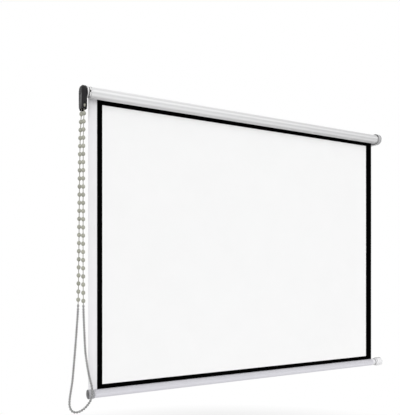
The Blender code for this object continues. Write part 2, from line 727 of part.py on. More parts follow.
def roller_tube():
    obj = ring("roller_tube", TUBE_LEFT, TUBE_RIGHT, TUBE_BORE, TUBE_RADIUS, 40, WHITE_METAL, roller_axis)
    rib = bmesh.new()
    rib_low = (TUBE_LEFT, -RIB_HALF_WIDTH, -TUBE_BORE - TUBE_WALL / 2)
    block(rib, rib_low, (TUBE_RIGHT, RIB_HALF_WIDTH, -TUBE_BORE + RIB_HEIGHT))
    combine(obj, helper("tube_rib", rib, roller_axis), "UNION")
    groove = bmesh.new()
    left, right = TUBE_LEFT - OVERRUN, TUBE_RIGHT + OVERRUN
    centre = -TUBE_RADIUS + SPLINE_DEPTH
    radius = SPLINE_RADIUS + GAP
    mouth = math.degrees(math.asin(GROOVE_HALF_MOUTH / radius))
    keyhole = arc((0.0, centre), radius, -90 + mouth, 270 - mouth, 12)
    outside = -TUBE_RADIUS - OVERRUN
    keyhole += [(-GROOVE_HALF_MOUTH, outside), (GROOVE_HALF_MOUTH, outside)]
    extrude_outline(groove, keyhole, left, right)
    combine(obj, helper("tube_groove", groove, roller_axis), "DIFFERENCE")
    spline = bmesh.new()
    rod(spline, (TUBE_LEFT + GAP, 0, centre), (TUBE_RIGHT - GAP, 0, centre), SPLINE_RADIUS, 12)
    solid("fabric_spline", spline, WHITE_PLASTIC, roller_axis)


def fabric_turns():
    ring("fabric_turns", SHEET_LEFT, SHEET_RIGHT, TURNS_IN, TURNS_OUT, 48, WHITE_FABRIC, roller_axis)


def screen_fabric():
    """The hanging sheet and its outermost turn round the roll, as one strip of constant thickness."""
    steps = 42
    outer = arc((AXIS_Y, 0.0), SHEET_OUT, 0, OUTER_TURN_END, steps)
    inner = arc((AXIS_Y, 0.0), SHEET_IN, 0, OUTER_TURN_END, steps)
    section = [(AXIS_Y + SHEET_OUT, SHEET_BOTTOM)] + outer + inner[::-1]
    section += [(AXIS_Y + SHEET_IN, SHEET_BOTTOM)]
    obj = prism("screen_fabric", section, SHEET_LEFT, SHEET_RIGHT, WHITE_FABRIC)
    notch = bmesh.new()
    top = BAR_DROP + KNOB_RADIUS + KNOB_NOTCH_EASE
    notch_right = SHEET_LEFT + KNOB_LENGTH
    notch_low = (SHEET_LEFT - OVERRUN, SHEET_Y - OVERRUN, SHEET_BOTTOM - OVERRUN)
    block(notch, notch_low, (notch_right, SHEET_Y + OVERRUN, top))
    combine(obj, helper("knob_notch", notch), "DIFFERENCE")


def borders():
    """Four matt black masking strips on the room side of the sheet."""
    back = AXIS_Y + SHEET_IN - GAP
    front = back - BORDER_THICKNESS
    left, right = WHITE_LEFT - BORDER_LEFT, WHITE_RIGHT + BORDER_RIGHT
    strips = {
        "border_top": (left, right, WHITE_TOP, WHITE_TOP + BORDER_TOP),
        "border_bottom": (left, right, SHEET_BOTTOM, WHITE_BOTTOM),
        "border_left": (left, WHITE_LEFT, WHITE_BOTTOM + GAP, WHITE_TOP - GAP),
        "border_right": (WHITE_RIGHT, right, WHITE_BOTTOM + GAP, WHITE_TOP - GAP),
    }
    for name, (x0, x1, z0, z1) in strips.items():
        bm = bmesh.new()
        block(bm, (x0, front, z0), (x1, back, z1))
        solid(name, bm, BLACK_FABRIC)


BAR_LEFT = SHEET_LEFT + KNOB_LENGTH - SLEEVE_SETBACK + GAP
BAR_RIGHT = SHEET_RIGHT + BAR_OVERHANG


def bottom_bar():
    sleeve_left = BAR_LEFT + SLEEVE_SETBACK
    ring("hem_sleeve", sleeve_left, SHEET_RIGHT, SLEEVE_IN, SLEEVE_RADIUS, 32, HEM_FABRIC, bar_axis)
    bore = BAR_RADIUS - BAR_WALL
    ring("bottom_bar", BAR_LEFT, BAR_RIGHT, bore, BAR_RADIUS, 32, WHITE_METAL, bar_axis)


def end_piece(name, seat, side, length, radius, shoulder, finish):
    """A round end that fills the bar's bore with a spigot. side is +1 at the right end."""
    spigot = BAR_RADIUS - BAR_WALL - GAP
    inner = seat - side * SPIGOT_LENGTH
    outer = seat + side * length
    crown = side * shoulder
    profile = [
        (inner, 0.0),
        (inner, spigot - CHAMFER),
        (inner + side * CHAMFER, spigot),
        (seat, spigot),
        (seat, radius - shoulder * 0.5),
        (seat + crown * 0.6, radius),
        (outer - crown, radius),
        (outer - crown * 0.3, radius - shoulder * 0.3),
        (outer, radius - shoulder),
        (outer, 0.0),
    ]
    turned(name, profile, 36, finish, bar_axis)


def bar_ends():
    end_piece("bar_knob_left", BAR_LEFT - GAP, -1, KNOB_LENGTH, KNOB_RADIUS, 0.004, GREY_PLASTIC)
    end_piece("bar_cap_right", BAR_RIGHT + GAP, 1, CAP_LENGTH, CAP_RADIUS, 0.005, CLEAR_PLASTIC)


CHAMBER_RIGHT = PLUG_RIGHT - PLUG_MOUTH_WALL
PLUG_LEFT = PLUG_SEAT - PLUG_LENGTH


def idle_plug():
    body = TUBE_BORE - GAP
    bore = PIN_RADIUS + GAP
    profile = [
        (PLUG_LEFT, PLUG_CHAMBER_RADIUS),
        (PLUG_LEFT, body - PLUG_LEAD),
        (PLUG_LEFT + PLUG_LEAD, body),
        (PLUG_SEAT, body),
        (PLUG_SEAT, CROWN_COLLAR_RADIUS),
        (PLUG_RIGHT - CHAMFER, CROWN_COLLAR_RADIUS),
        (PLUG_RIGHT, CROWN_COLLAR_RADIUS - CHAMFER),
        (PLUG_RIGHT, bore),
        (CHAMBER_RIGHT, bore),
        (CHAMBER_RIGHT, PLUG_CHAMBER_RADIUS),
    ]
    obj = turned("idle_plug", profile, 40, WHITE_PLASTIC, roller_axis)
    combine(obj, keyway("plug_keyway", PLUG_LEFT - OVERRUN, PLUG_SEAT), "DIFFERENCE")
    cap = PLUG_CHAMBER_RADIUS - GAP
    cap_right = PLUG_LEFT + PLUG_CAP_THICKNESS
    turned("idle_plug_cap", [(PLUG_LEFT, 0.0), (PLUG_LEFT, cap), (cap_right, cap), (cap_right, 0.0)],
           24, WHITE_PLASTIC, roller_axis)


def idle_pin():
    shoulder_right = CHAMBER_RIGHT - GAP
    shoulder_left = shoulder_right - PIN_SHOULDER_THICKNESS
    tip = RIGHT_PLATE_IN - SOCKET_LENGTH + PIN_TRAVEL - PIN_END_EASE
    profile = [
        (shoulder_left - PIN_TAIL, 0.0),
        (shoulder_left - PIN_TAIL, PIN_RADIUS),
        (shoulder_left, PIN_RADIUS),
        (shoulder_left, PLUG_CHAMBER_RADIUS - GAP),
        (shoulder_right, PLUG_CHAMBER_RADIUS - GAP),
        (shoulder_right, PIN_RADIUS),
        (tip - CHAMFER, PIN_RADIUS),
        (tip, PIN_RADIUS - CHAMFER),
        (tip, 0.0),
    ]
    turned("idle_pin", profile, 20, BRIGHT_STEEL, roller_axis)
    start = PLUG_LEFT + PLUG_CAP_THICKNESS + IDLE_WIRE_RADIUS + GAP
    end = shoulder_left - IDLE_WIRE_RADIUS - GAP
    coil("idle_spring", start, end, IDLE_COIL_RADIUS, IDLE_WIRE_RADIUS, IDLE_TURNS, BRIGHT_STEEL, roller_axis)


def bullet(radius, rear):
    """Round at the front about the roller's axis, and straight back to the wall."""
    return [(rear, -radius), (rear, radius)] + arc((AXIS_Y, 0.0), radius, 90, 270, 24)


PEGS = ((-0.024, 0.014), (-0.024, -0.014))


def right_bracket():
    obj = prism("right_bracket", bullet(RIGHT_RADIUS, 0.0), RIM_LEFT, RIGHT_PLATE_OUT, CLEAR_PLASTIC)
    flange = bmesh.new()
    flange_low = (RIGHT_PLATE_OUT - RIGHT_FLANGE_WIDTH, -RIGHT_PLATE, -RIGHT_RADIUS)
    block(flange, flange_low, (RIGHT_PLATE_OUT, 0.0, RIGHT_RADIUS))
    combine(obj, helper("right_flange", flange), "UNION")
    dish = bmesh.new()
    hollow = bullet(RIGHT_RADIUS - RIM_WALL, -RIGHT_PLATE)
    extrude_outline(dish, hollow, RIM_LEFT - OVERRUN, RIGHT_PLATE_IN)
    combine(obj, helper("right_dish", dish), "DIFFERENCE")
    boss = bmesh.new()
    boss_left, boss_right = RIGHT_PLATE_IN - SOCKET_LENGTH, RIGHT_PLATE_OUT - SOCKET_FLOOR
    rod(boss, (boss_left, AXIS_Y, 0), (boss_right, AXIS_Y, 0), SOCKET_RADIUS, 24)
    combine(obj, helper("right_boss", boss), "UNION")
    holes = bmesh.new()
    socket_radius = PIN_RADIUS + SOCKET_EASE
    rod(holes, (boss_left - OVERRUN, AXIS_Y, 0), (boss_right, AXIS_Y, 0), socket_radius, 20)
    x = RIGHT_PLATE_OUT - RIGHT_HOLE_INSET
    for z in RIGHT_HOLE_HEIGHTS:
        rod(holes, (x, -RIGHT_PLATE - OVERRUN, z), (x, OVERRUN, z), WALL_HOLE_RADIUS, 16)
    for y, z in PEGS:
        left, right = RIGHT_PLATE_IN - OVERRUN, RIGHT_PLATE_OUT + OVERRUN
        rod(holes, (left, y, z), (right, y, z), PEG_RADIUS + GAP, 14)
    combine(obj, helper("right_holes", holes), "DIFFERENCE")


def right_cover():
    left = RIGHT_PLATE_OUT + GAP
    outline = bullet(RIGHT_RADIUS, COVER_REAR)
    obj = prism("right_cover", outline, left, left + COVER_THICKNESS, CLEAR_PLASTIC)
    pegs = bmesh.new()
    for y, z in PEGS:
        peg_root = left + COVER_THICKNESS / 2
        rod(pegs, (RIGHT_PLATE_OUT - PEG_LENGTH, y, z), (peg_root, y, z), PEG_RADIUS, 14)
    combine(obj, helper("cover_pegs", pegs), "UNION")


def smooth_route(points, steps):
    """A Catmull-Rom curve through the points, as many short chords."""
    points = [Vector(p) for p in points]
    ends = [points[0] * 2 - points[1]] + points + [points[-1] * 2 - points[-2]]
    curve = []
    for a, b, c, d in zip(ends, ends[1:], ends[2:], ends[3:]):
        for i in range(steps):
            t = i / steps
            curve.append(
                0.5 * ((2 * b) + (c - a) * t + (2 * a - 5 * b + 4 * c - d) * t * t
                       + (3 * b - a - 3 * c + d) * t * t * t)
            )
    return curve + [points[-1]]


class Line:
    """A polyline that gives the point at a distance along it."""

    def __init__(self, points):
        self.points = points
        self.marks = [0.0]
        for a, b in zip(points, points[1:]):
            self.marks.append(self.marks[-1] + (b - a).length)
        self.length = self.marks[-1]

    def at(self, distance):
        for i in range(1, len(self.points)):
            if distance <= self.marks[i] or i == len(self.points) - 1:
                share = (distance - self.marks[i - 1]) / (self.marks[i] - self.marks[i - 1])
                return self.points[i - 1].lerp(self.points[i], share)


def beads_along(first, pitch, start, end, radius):
    """Distances of the bead centres that fit whole between start and end."""
    centres = []
    place_at = first
    while place_at + radius < end:
        if place_at - radius > start:
            centres.append(place_at)
        place_at += pitch
    return centres


def chain_piece(name, line, start, end, centres, bead, string, rings, finish, between=0):
    """A string with beads on it: one tube whose radius swells at each bead.

    between is the number of extra points on each bare stretch, for where the string bends.
    """
    stops = [(start, string)]
    for centre in centres:
        bare = centre + rings[0] * bead - stops[-1][0]
        last = stops[-1][0]
        stops += [(last + bare * (n + 1) / (between + 1), string) for n in range(between)]
        for share in rings:
            swell = bead * math.sqrt(max(0.0, 1 - share * share))
            stops.append((centre + share * bead, max(string, swell)))
    stops.append((end, string))
    curve = bpy.data.curves.new(name, "CURVE")
    curve.dimensions = "3D"
    curve.bevel_depth = 1.0
    curve.bevel_resolution = 1
    curve.use_fill_caps = True
    spline = curve.splines.new("POLY")
    spline.points.add(len(stops) - 1)
    for point, (distance, radius) in zip(spline.points, stops):
        point.co = (*line.at(distance), 1.0)
        point.radius = radius
    place(bpy.data.objects.new(name, curve), finish)


BEAD_RINGS = (-0.985, -0.8, -0.35, 0.35, 0.8, 0.985)
SMALL_BEAD_RINGS = (-0.97, -0.45, 0.45, 0.97)


def chain():
    """The endless chain: over the wheel, down both coarse strands and round the fine lower loop."""
    free = Line(smooth_route(CHAIN_ROUTE, ROUTE_STEPS))
    half = CONNECTOR_LENGTH / 2
    below = [mark for mark, point in zip(free.marks, free.points) if point.z <= JOIN_HEIGHT]
    joins = (below[0], below[-1])
    rear_start = -CHAIN_ROUTE[0][2]
    first = REAR_BEAD_DROP + BEAD_PITCH - rear_start
    centres = beads_along(first, BEAD_PITCH, 0.0, joins[0] - half, BEAD_RADIUS)
    chain_piece("chain_strand_rear", free, 0.0, joins[0] - half - GAP, centres,
                BEAD_RADIUS, STRING_RADIUS, BEAD_RINGS, CREAM_BEAD)

    over = math.pi * CHAIN_RADIUS
    front_drop = 2 * BEAD_PITCH - over - REAR_BEAD_DROP
    first = free.length - (front_drop + BEAD_PITCH + CHAIN_ROUTE[-1][2])
    backwards = beads_along(free.length - first, BEAD_PITCH, 0.0, free.length - joins[1] - half, BEAD_RADIUS)
    centres = [free.length - mark for mark in reversed(backwards)]
    chain_piece("chain_strand_front", free, joins[1] + half + GAP, free.length, centres,
                BEAD_RADIUS, STRING_RADIUS, BEAD_RINGS, CREAM_BEAD)

    start, end = joins[0] + half + GAP, joins[1] - half - GAP
    centres = beads_along(start + SMALL_BEAD_PITCH * 0.6, SMALL_BEAD_PITCH, start, end, SMALL_BEAD_RADIUS)
    chain_piece("chain_loop_lower", free, start, end, centres,
                SMALL_BEAD_RADIUS, SMALL_STRING_RADIUS, SMALL_BEAD_RINGS, METAL_BEAD)
    for name, join in (("chain_connector_rear", joins[0]), ("chain_connector_front", joins[1])):
        chain_piece(name, free, join - half, join + half, [join],
                    CONNECTOR_RADIUS * 1.6, CONNECTOR_RADIUS * 0.8, (-0.9, -0.6, 0.0, 0.6, 0.9), METAL_BEAD)

    rear_tail = rear_start - GAP
    front_tail = -CHAIN_ROUTE[-1][2] - GAP
    rear_y, front_y = AXIS_Y + CHAIN_RADIUS, AXIS_Y - CHAIN_RADIUS
    points = [Vector((CHAIN_X, rear_y, -rear_tail))]
    points += [Vector((CHAIN_X, y, z)) for y, z in arc((AXIS_Y, 0.0), CHAIN_RADIUS, 0, 180, 24)]
    points += [Vector((CHAIN_X, front_y, -front_tail))]
    wheel_line = Line(points)
    centres = [rear_tail - REAR_BEAD_DROP + BEAD_PITCH * n for n in range(BEADS_PER_TURN)]
    chain_piece("chain_on_wheel", wheel_line, 0.0, wheel_line.length, centres,
                BEAD_RADIUS, STRING_RADIUS, BEAD_RINGS, CREAM_BEAD, between=3)
    print("free chain length", round(free.length, 4), "joins at", [round(j, 4) for j in joins])


left_bracket()
chain_guard()
guard_screws()
clutch_hub()
chain_wheel()
drive_crown()
wrap_spring()
roller_tube()
fabric_turns()
screen_fabric()
borders()
bottom_bar()
bar_ends()
idle_plug()
idle_pin()
right_bracket()
right_cover()
chain()
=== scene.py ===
from math import cos, pi, radians, sin

import bmesh
import bpy
from mathutils import Matrix, Vector, noise


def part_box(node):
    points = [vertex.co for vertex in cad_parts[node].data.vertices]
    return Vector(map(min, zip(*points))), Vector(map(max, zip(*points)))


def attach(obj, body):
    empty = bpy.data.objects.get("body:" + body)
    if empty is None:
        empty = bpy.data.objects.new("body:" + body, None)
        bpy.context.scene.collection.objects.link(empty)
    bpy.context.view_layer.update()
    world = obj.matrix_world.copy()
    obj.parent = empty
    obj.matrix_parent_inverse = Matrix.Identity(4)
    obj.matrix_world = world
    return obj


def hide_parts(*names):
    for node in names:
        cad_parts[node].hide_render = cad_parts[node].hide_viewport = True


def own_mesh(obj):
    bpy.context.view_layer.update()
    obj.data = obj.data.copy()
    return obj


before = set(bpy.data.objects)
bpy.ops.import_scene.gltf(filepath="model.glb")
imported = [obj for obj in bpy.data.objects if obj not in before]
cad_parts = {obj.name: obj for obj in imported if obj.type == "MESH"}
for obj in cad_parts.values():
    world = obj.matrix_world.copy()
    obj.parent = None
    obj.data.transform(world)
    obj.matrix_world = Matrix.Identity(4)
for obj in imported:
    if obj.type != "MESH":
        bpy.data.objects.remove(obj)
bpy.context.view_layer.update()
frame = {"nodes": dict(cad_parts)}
nodes = frame["nodes"]
print("frame loaded:", len(nodes), "nodes")


# Places read from the frame, so every piece sits on what carries it

def axisOf(node):
    # the line along X through a node's middle
    low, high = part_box(node)
    return Vector((0, (low.y + high.y) / 2, (low.z + high.z) / 2))


rollLow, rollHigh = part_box("fabric_turns")
tubeLow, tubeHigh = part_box("roller_tube")
sheetLow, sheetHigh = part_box("screen_fabric")
barLow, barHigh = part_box("bottom_bar")
sleeveLow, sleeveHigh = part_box("hem_sleeve")
topLow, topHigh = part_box("border_top")
footLow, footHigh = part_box("border_bottom")
sideLow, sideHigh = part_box("border_left")
farLow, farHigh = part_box("border_right")
rollAxis = axisOf("fabric_turns")
rollCentre = (rollAxis.y, rollAxis.z)
barAxis = axisOf("bottom_bar")
rollRadius = (rollHigh.z - rollLow.z) / 2
barRadius = (barHigh.z - barLow.z) / 2
turnOuter = sheetHigh.z - rollAxis.z          # outside of the turn that hangs
sheetThick = 0.0005
sheetFront = rollAxis.y + turnOuter - sheetThick
play = 0.0003                   # room between parts that fit in or on one another
cutPast = 0.002                 # how far a cutting tool runs past the face


# Mesh helpers

def link(obj):
    bpy.context.scene.collection.objects.link(obj)
    return obj


def smoothPiece(name, mesh, sharp=35):
    mesh.shade_smooth()
    mesh.set_sharp_from_angle(angle=radians(sharp))
    return link(bpy.data.objects.new(name, mesh))


def meshPiece(name, bm, *materials, sharp=35):
    bmesh.ops.recalc_face_normals(bm, faces=bm.faces[:])
    mesh = bpy.data.meshes.new(name)
    bm.to_mesh(mesh)
    bm.free()
    for material in materials:
        mesh.materials.append(material)
    return smoothPiece(name, mesh, sharp)


def softened(outline, radius, cuts=3):
    # rounds the corners of a closed outline; points on the turning axis stay
    points = [Vector(p) for p in outline]
    result = []
    for i, corner in enumerate(points):
        before, after = points[i - 1], points[(i + 1) % len(points)]
        toBefore, toAfter = before - corner, after - corner
        onAxis = abs(corner.y) < 1e-9
        straight = toBefore.length and toAfter.length and toBefore.angle(toAfter, pi) > radians(172)
        if onAxis or straight:
            result.append(corner)
            continue
        reach = min(radius, toBefore.length * 0.45, toAfter.length * 0.45)
        start = corner + toBefore.normalized() * reach
        end = corner + toAfter.normalized() * reach
        for n in range(cuts + 1):
            t = n / cuts
            result.append(start * (1 - t) ** 2 + corner * 2 * t * (1 - t) + end * t ** 2)
    return [(p.x, p.y) for p in result]


def addLathe(bm, outline, steps, centre):
    # turns a closed outline of (x, radius) about a line along X
    verts = [bm.verts.new((x, centre.y, centre.z + r)) for x, r in outline]
    edges = []
    for i, vert in enumerate(verts):
        after = (i + 1) % len(verts)
        if outline[i][1] > 1e-9 or outline[after][1] > 1e-9:
            edges.append(bm.edges.new((vert, verts[after])))
    bmesh.ops.spin(bm, geom=verts + edges, cent=(0, centre.y, centre.z), axis=(1, 0, 0),
                   angle=2 * pi, steps=steps, use_merge=True)
    bmesh.ops.remove_doubles(bm, verts=bm.verts[:], dist=1e-6)


def lathe(name, outline, steps, centre, material, edge=0.0004):
    bm = bmesh.new()
    addLathe(bm, softened(outline, edge) if edge else outline, steps, centre)
    return meshPiece(name, bm, material)


def tubeOutline(x0, x1, inner, outer):
    return [(x0, inner), (x0, outer), (x1, outer), (x1, inner)]


def pull(bm, faces, reach, **options):
    # draws faces out into a solid and gives the corners that moved
    grown = bmesh.ops.extrude_face_region(bm, geom=faces, **options)
    moved = [v for v in grown["geom"] if isinstance(v, bmesh.types.BMVert)]
    bmesh.ops.translate(bm, verts=moved, vec=reach)
    return moved


def pullFace(bm, corners, reach):
    base = [bm.verts.new(corner) for corner in corners]
    return base + pull(bm, [bm.faces.new(base)], reach)


def addPrism(bm, outline, x0, x1):
    return pullFace(bm, [(x0, y, z) for y, z in outline], (x1 - x0, 0, 0))


def addBox(bm, low, high):
    side = ((low[1], low[2]), (high[1], low[2]), (high[1], high[2]), (low[1], high[2]))
    return addPrism(bm, side, low[0], high[0])


def addRod(bm, start, end, radius, steps=24):
    start, end = Vector(start), Vector(end)
    turn = Vector((0, 0, 1)).rotation_difference(end - start).to_matrix().to_4x4()
    turn.translation = (start + end) / 2
    bmesh.ops.create_cone(bm, cap_ends=True, segments=steps, radius1=radius, radius2=radius,
                          depth=(end - start).length, matrix=turn)


def arcPoints(centre, radius, start, end, steps):
    points = []
    for i in range(steps + 1):
        angle = radians(start + (end - start) * i / steps)
        points.append((centre[0] + radius * cos(angle), centre[1] + radius * sin(angle)))
    return points


def asMesh(obj):
    # the object's shape as it stands, with its curve or modifiers worked out
    bpy.context.view_layer.update()
    return bpy.data.meshes.new_from_object(obj.evaluated_get(bpy.context.evaluated_depsgraph_get()))


def carve(name, base, material, *steps, edge=0.0004, edgeShade=None):
    # a solid from Boolean steps in order, with its edges broken by a small bevel; a given edge material
    # paints the bevel's faces, as painted shade on the brackets
    obj = meshPiece("tool", base, material)
    tools = [obj]
    for operation, shape in steps:
        tools.append(meshPiece("tool", shape))
        step = obj.modifiers.new(operation, "BOOLEAN")
        step.operation = operation
        step.solver = "EXACT"
        step.object = tools[-1]
    if edge:
        soften = obj.modifiers.new("edges", "BEVEL")
        soften.width = edge
        soften.segments = 2
        soften.limit_method = "ANGLE"
        soften.angle_limit = radians(38)
        if edgeShade:
            obj.data.materials.append(edgeShade)
            soften.material = 1
    mesh = asMesh(obj)
    mesh.name = name
    for tool in tools:
        bpy.data.objects.remove(tool, do_unlink=True)
    return smoothPiece(name, mesh)


def tubeAlong(name, points, radius, material, resolution=2):
    curve = bpy.data.curves.new(name, "CURVE")
    curve.dimensions = "3D"
    curve.bevel_depth = radius
    curve.bevel_resolution = resolution
    curve.use_fill_caps = True
    spline = curve.splines.new("POLY")
    spline.points.add(len(points) - 1)
    for spot, point in zip(spline.points, points):
        spot.co = (*point, 1)
    curve.materials.append(material)
    return link(bpy.data.objects.new(name, curve))


def ringPoint(x, radius, angle):
    # a point round the roller's axis
    return (x, rollAxis.y + radius * cos(angle), rollAxis.z + radius * sin(angle))


def fit(piece, body, slot, *nodes):
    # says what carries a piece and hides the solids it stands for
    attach(piece, body)
    if nodes:
        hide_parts(*nodes)


# Material helpers

def addNode(tree, kind, *values, **named):
    # values go to the inputs in order; a name with a capital is an input, any other name a setting
    node = tree.nodes.new("ShaderNode" + kind)
    inputs = list(enumerate(values))
    for name, value in named.items():
        if name[0].isupper():
            inputs.append((name.replace("_", " "), value))
        else:
            setattr(node, name, value)
    for key, value in inputs:
        if isinstance(value, bpy.types.NodeSocket):
            tree.links.new(value, node.inputs[key])
        else:
            node.inputs[key].default_value = value
    return node


class Finish:
    # one Principled shader with procedural detail in object space
    def __init__(self, name, colour, roughness, **sockets):
        self.material = bpy.data.materials.new(name)
        self.material.use_nodes = True
        self.tree = self.material.node_tree
        self.shader = self.tree.nodes["Principled BSDF"]
        self.shader.inputs["Base Color"].default_value = (*colour, 1)
        self.shader.inputs["Roughness"].default_value = roughness
        for socket, value in sockets.items():
            self.shader.inputs[socket.replace("_", " ")].default_value = value
        self.place = self.add("TexCoord")["Object"]
        self.colour = colour
        self.roughness = roughness
        self.lastNormal = None

    def add(self, kind, **named):
        return addNode(self.tree, kind, **named).outputs

    def drive(self, socket, value):
        self.tree.links.new(value, self.shader.inputs[socket])

    def noise(self, scale, detail=3.0, stretch=(1, 1, 1)):
        place = self.add("Mapping", Scale=stretch, Vector=self.place)["Vector"]
        return self.add("TexNoise", Scale=scale, Detail=detail, Vector=place)["Fac"]

    def bands(self, period, direction, distortion, detail, phase=0.0):
        # at scale 1 the texture repeats every tenth of pi
        return self.add("TexWave", wave_type="BANDS", bands_direction=direction, Vector=self.place,
                        Scale=2 * pi / 20 / period, Distortion=distortion, Detail=detail,
                        Phase_Offset=phase)["Fac"]

    def weave(self, thread, direction, relief):
        self.bump(self.bands(thread, direction, 0.6, 1.0), relief)

    def ramp(self, value, low, high, start=0.3, end=0.7):
        return self.add("MapRange", Value=value, From_Min=start, From_Max=end, To_Min=low,
                        To_Max=high)["Result"]

    def rampAlong(self, axis, start, end):
        return self.ramp(self.add("SeparateXYZ", Vector=self.place)[axis], 0, 1, start, end)

    def mixColour(self, value, low, high):
        mixed = self.add("Mix", data_type="RGBA", A=(*low, 1), B=(*high, 1), Factor=value)
        self.drive("Base Color", mixed["Result"])

    def spreadColour(self, value, down, up):
        low = tuple(c * (1 - down) for c in self.colour)
        high = tuple(min(1, c * (1 + up)) for c in self.colour)
        self.mixColour(value, low, high)

    def vary(self, value, amount):
        self.spreadColour(self.ramp(value, 0, 1), amount, amount)

    def varyRoughness(self, value, amount):
        self.drive("Roughness", self.ramp(value, self.roughness - amount, self.roughness + amount))

    def bump(self, value, distance):
        node = addNode(self.tree, "Bump", Distance=distance, Strength=1.0, Height=value)
        if self.lastNormal:
            self.tree.links.new(self.lastNormal, node.inputs["Normal"])
        self.lastNormal = node.outputs["Normal"]
        self.drive("Normal", self.lastNormal)

    def wear(self, mottle, shine, grain, stretch=(1, 1, 1)):
        # each is a noise's scale and what it does: to the colour, the roughness and the surface
        if mottle:
            self.vary(self.noise(mottle[0], stretch=stretch), mottle[1])
        self.varyRoughness(self.noise(shine[0]), shine[1])
        self.bump(self.noise(grain[0], detail=2), grain[1])
        return self.material


def powderCoat(name, colour):
    finish = Finish(name, colour, 0.5, Specular_IOR_Level=0.25)
    return finish.wear((60, 0.25), (220, 0.07), (1400, 0.00006))


def satinPlastic(name, colour, roughness, specular=0.5, mottle=0.05):
    finish = Finish(name, colour, roughness, Specular_IOR_Level=specular)
    return finish.wear((45, mottle), (160, 0.05), (2200, 0.00002))


def milkyPlastic(name, colour, roughness, clear):
    finish = Finish(name, colour, roughness, Transmission_Weight=clear, IOR=1.46)
    return finish.wear((30, 0.05), (120, 0.05), (500, 0.00003))


def paintedTube(name, colour):
    finish = Finish(name, colour, 0.38, Specular_IOR_Level=0.45)
    return finish.wear((25, 0.02), (90, 0.05), (600, 0.00003), stretch=(0.15, 1, 1))


def clearPlastic(name, colour, lower=None, fade=None):
    # pale see-through plastic; where lower is given, the colour turns from lower up to colour along Z, a
    # painted shade that darkens its top
    finish = Finish(name, colour, 0.14, Transmission_Weight=0.15, IOR=1.46)
    if lower:
        finish.mixColour(finish.rampAlong("Z", *fade), lower, colour)
    return finish.wear(None if lower else (30, 0.04), (120, 0.05), (260, 0.00006))


def zincSteel(name, colour):
    finish = Finish(name, colour, 0.32, Metallic=1.0)
    finish.vary(finish.noise(180), 0.12)
    finish.varyRoughness(finish.noise(320), 0.08)
    finish.bump(finish.noise(900, stretch=(0.1, 1, 1)), 0.00003)
    return finish.material


def cloth(name, colour, thread, relief, mottle=0.015, specular=0.2):
    finish = Finish(name, colour, 0.85, Specular_IOR_Level=specular)
    finish.vary(finish.noise(9, detail=4), mottle)
    finish.weave(thread, "X", relief)
    finish.weave(thread, "Z", relief)
    return finish.material


def rolledCloth(name, colour, bands, fade):
    # cloth drawn round a tube; its colour carries painted highlight and shade bands along it, by height, and
    # a painted shade that changes slowly along one axis
    period, lightest, share = bands
    axis, start, end, shadeChange = fade
    finish = Finish(name, colour, 0.8, Specular_IOR_Level=0.25)
    phase = (pi - 2 * pi * lightest / period) % (2 * pi)
    # painted highlight and shade: bands by height, lightest at the height given
    wave = finish.bands(period, "Z", 0.3, 2.0, phase)
    # painted shade: a slow ramp of the colour along one axis
    paintedShadeRamp = finish.rampAlong(axis, start, end)
    mixed = finish.add("Mix", Factor=abs(shadeChange) / (share + abs(shadeChange)), A=wave, B=paintedShadeRamp)["Result"]
    finish.spreadColour(mixed, share / 2 - min(0, shadeChange), share / 2 + max(0, shadeChange))
    finish.bump(finish.noise(70, detail=1, stretch=(0.02, 1, 1)), 0.002)
    finish.weave(0.0007, "X", 0.00005)
    return finish.material


def beadFinish(name, colour, roughness, spread, **sockets):
    finish = Finish(name, colour, roughness, **sockets)
    finish.spreadColour(finish.add("NewGeometry")["Random Per Island"], spread, spread)
    finish.varyRoughness(finish.noise(400), 0.06)
    finish.bump(finish.noise(1500, detail=2), 0.00003)
    return finish.material


blackSteel = powderCoat("black powder coat", (0.008, 0.008, 0.009))
blackPlastic = satinPlastic("black guard plastic", (0.007, 0.007, 0.008), 0.42, 0.22, 0.15)
whitePlastic = satinPlastic("white clutch plastic", (0.80, 0.80, 0.80), 0.38)
knobPlastic = milkyPlastic("smoky knob plastic", (0.46, 0.46, 0.48), 0.3, 0.15)
# the knob's end face, painted dark as shade
knobFace = satinPlastic("knob end, painted shade", (0.10, 0.10, 0.105), 0.45, 0.4, 0.12)
# the bar's cap: painted shade darkens its top edge
capPlasticShadedTop = clearPlastic("clear cap plastic, painted shade on top", (0.42, 0.42, 0.42), (0.93, 0.93, 0.94), (-1.1470, -1.1452))
bracketPlastic = clearPlastic("clear bracket plastic", (0.50, 0.50, 0.51))
# the brackets' bevelled edges: dark grey as painted shade, darkest at the top
bracketEdgeShade = clearPlastic("bracket edges, painted shade", (0.02, 0.02, 0.022), (0.34, 0.34, 0.345), (0.003, 0.017))
sealRubber = satinPlastic("grey seal ring", (0.20, 0.20, 0.20), 0.5, 0.4, 0.1)
zinc = zincSteel("zinc plated steel", (0.60, 0.60, 0.62))
pictureCloth = cloth("picture surface", (0.93, 0.93, 0.93), 0.0007, 0.00003, 0.006)
marginCloth = cloth("plain white cloth", (0.87, 0.865, 0.88), 0.0007, 0.00005)
# the roll's cloth: painted highlight and shade bands round it, and painted shade that darkens it towards its
# right end
rollCloth = rolledCloth("back of the cloth", (0.80, 0.80, 0.805), (0.015, -0.012, 0.19),
                        ("X", 1.5, 0.2, -0.15))
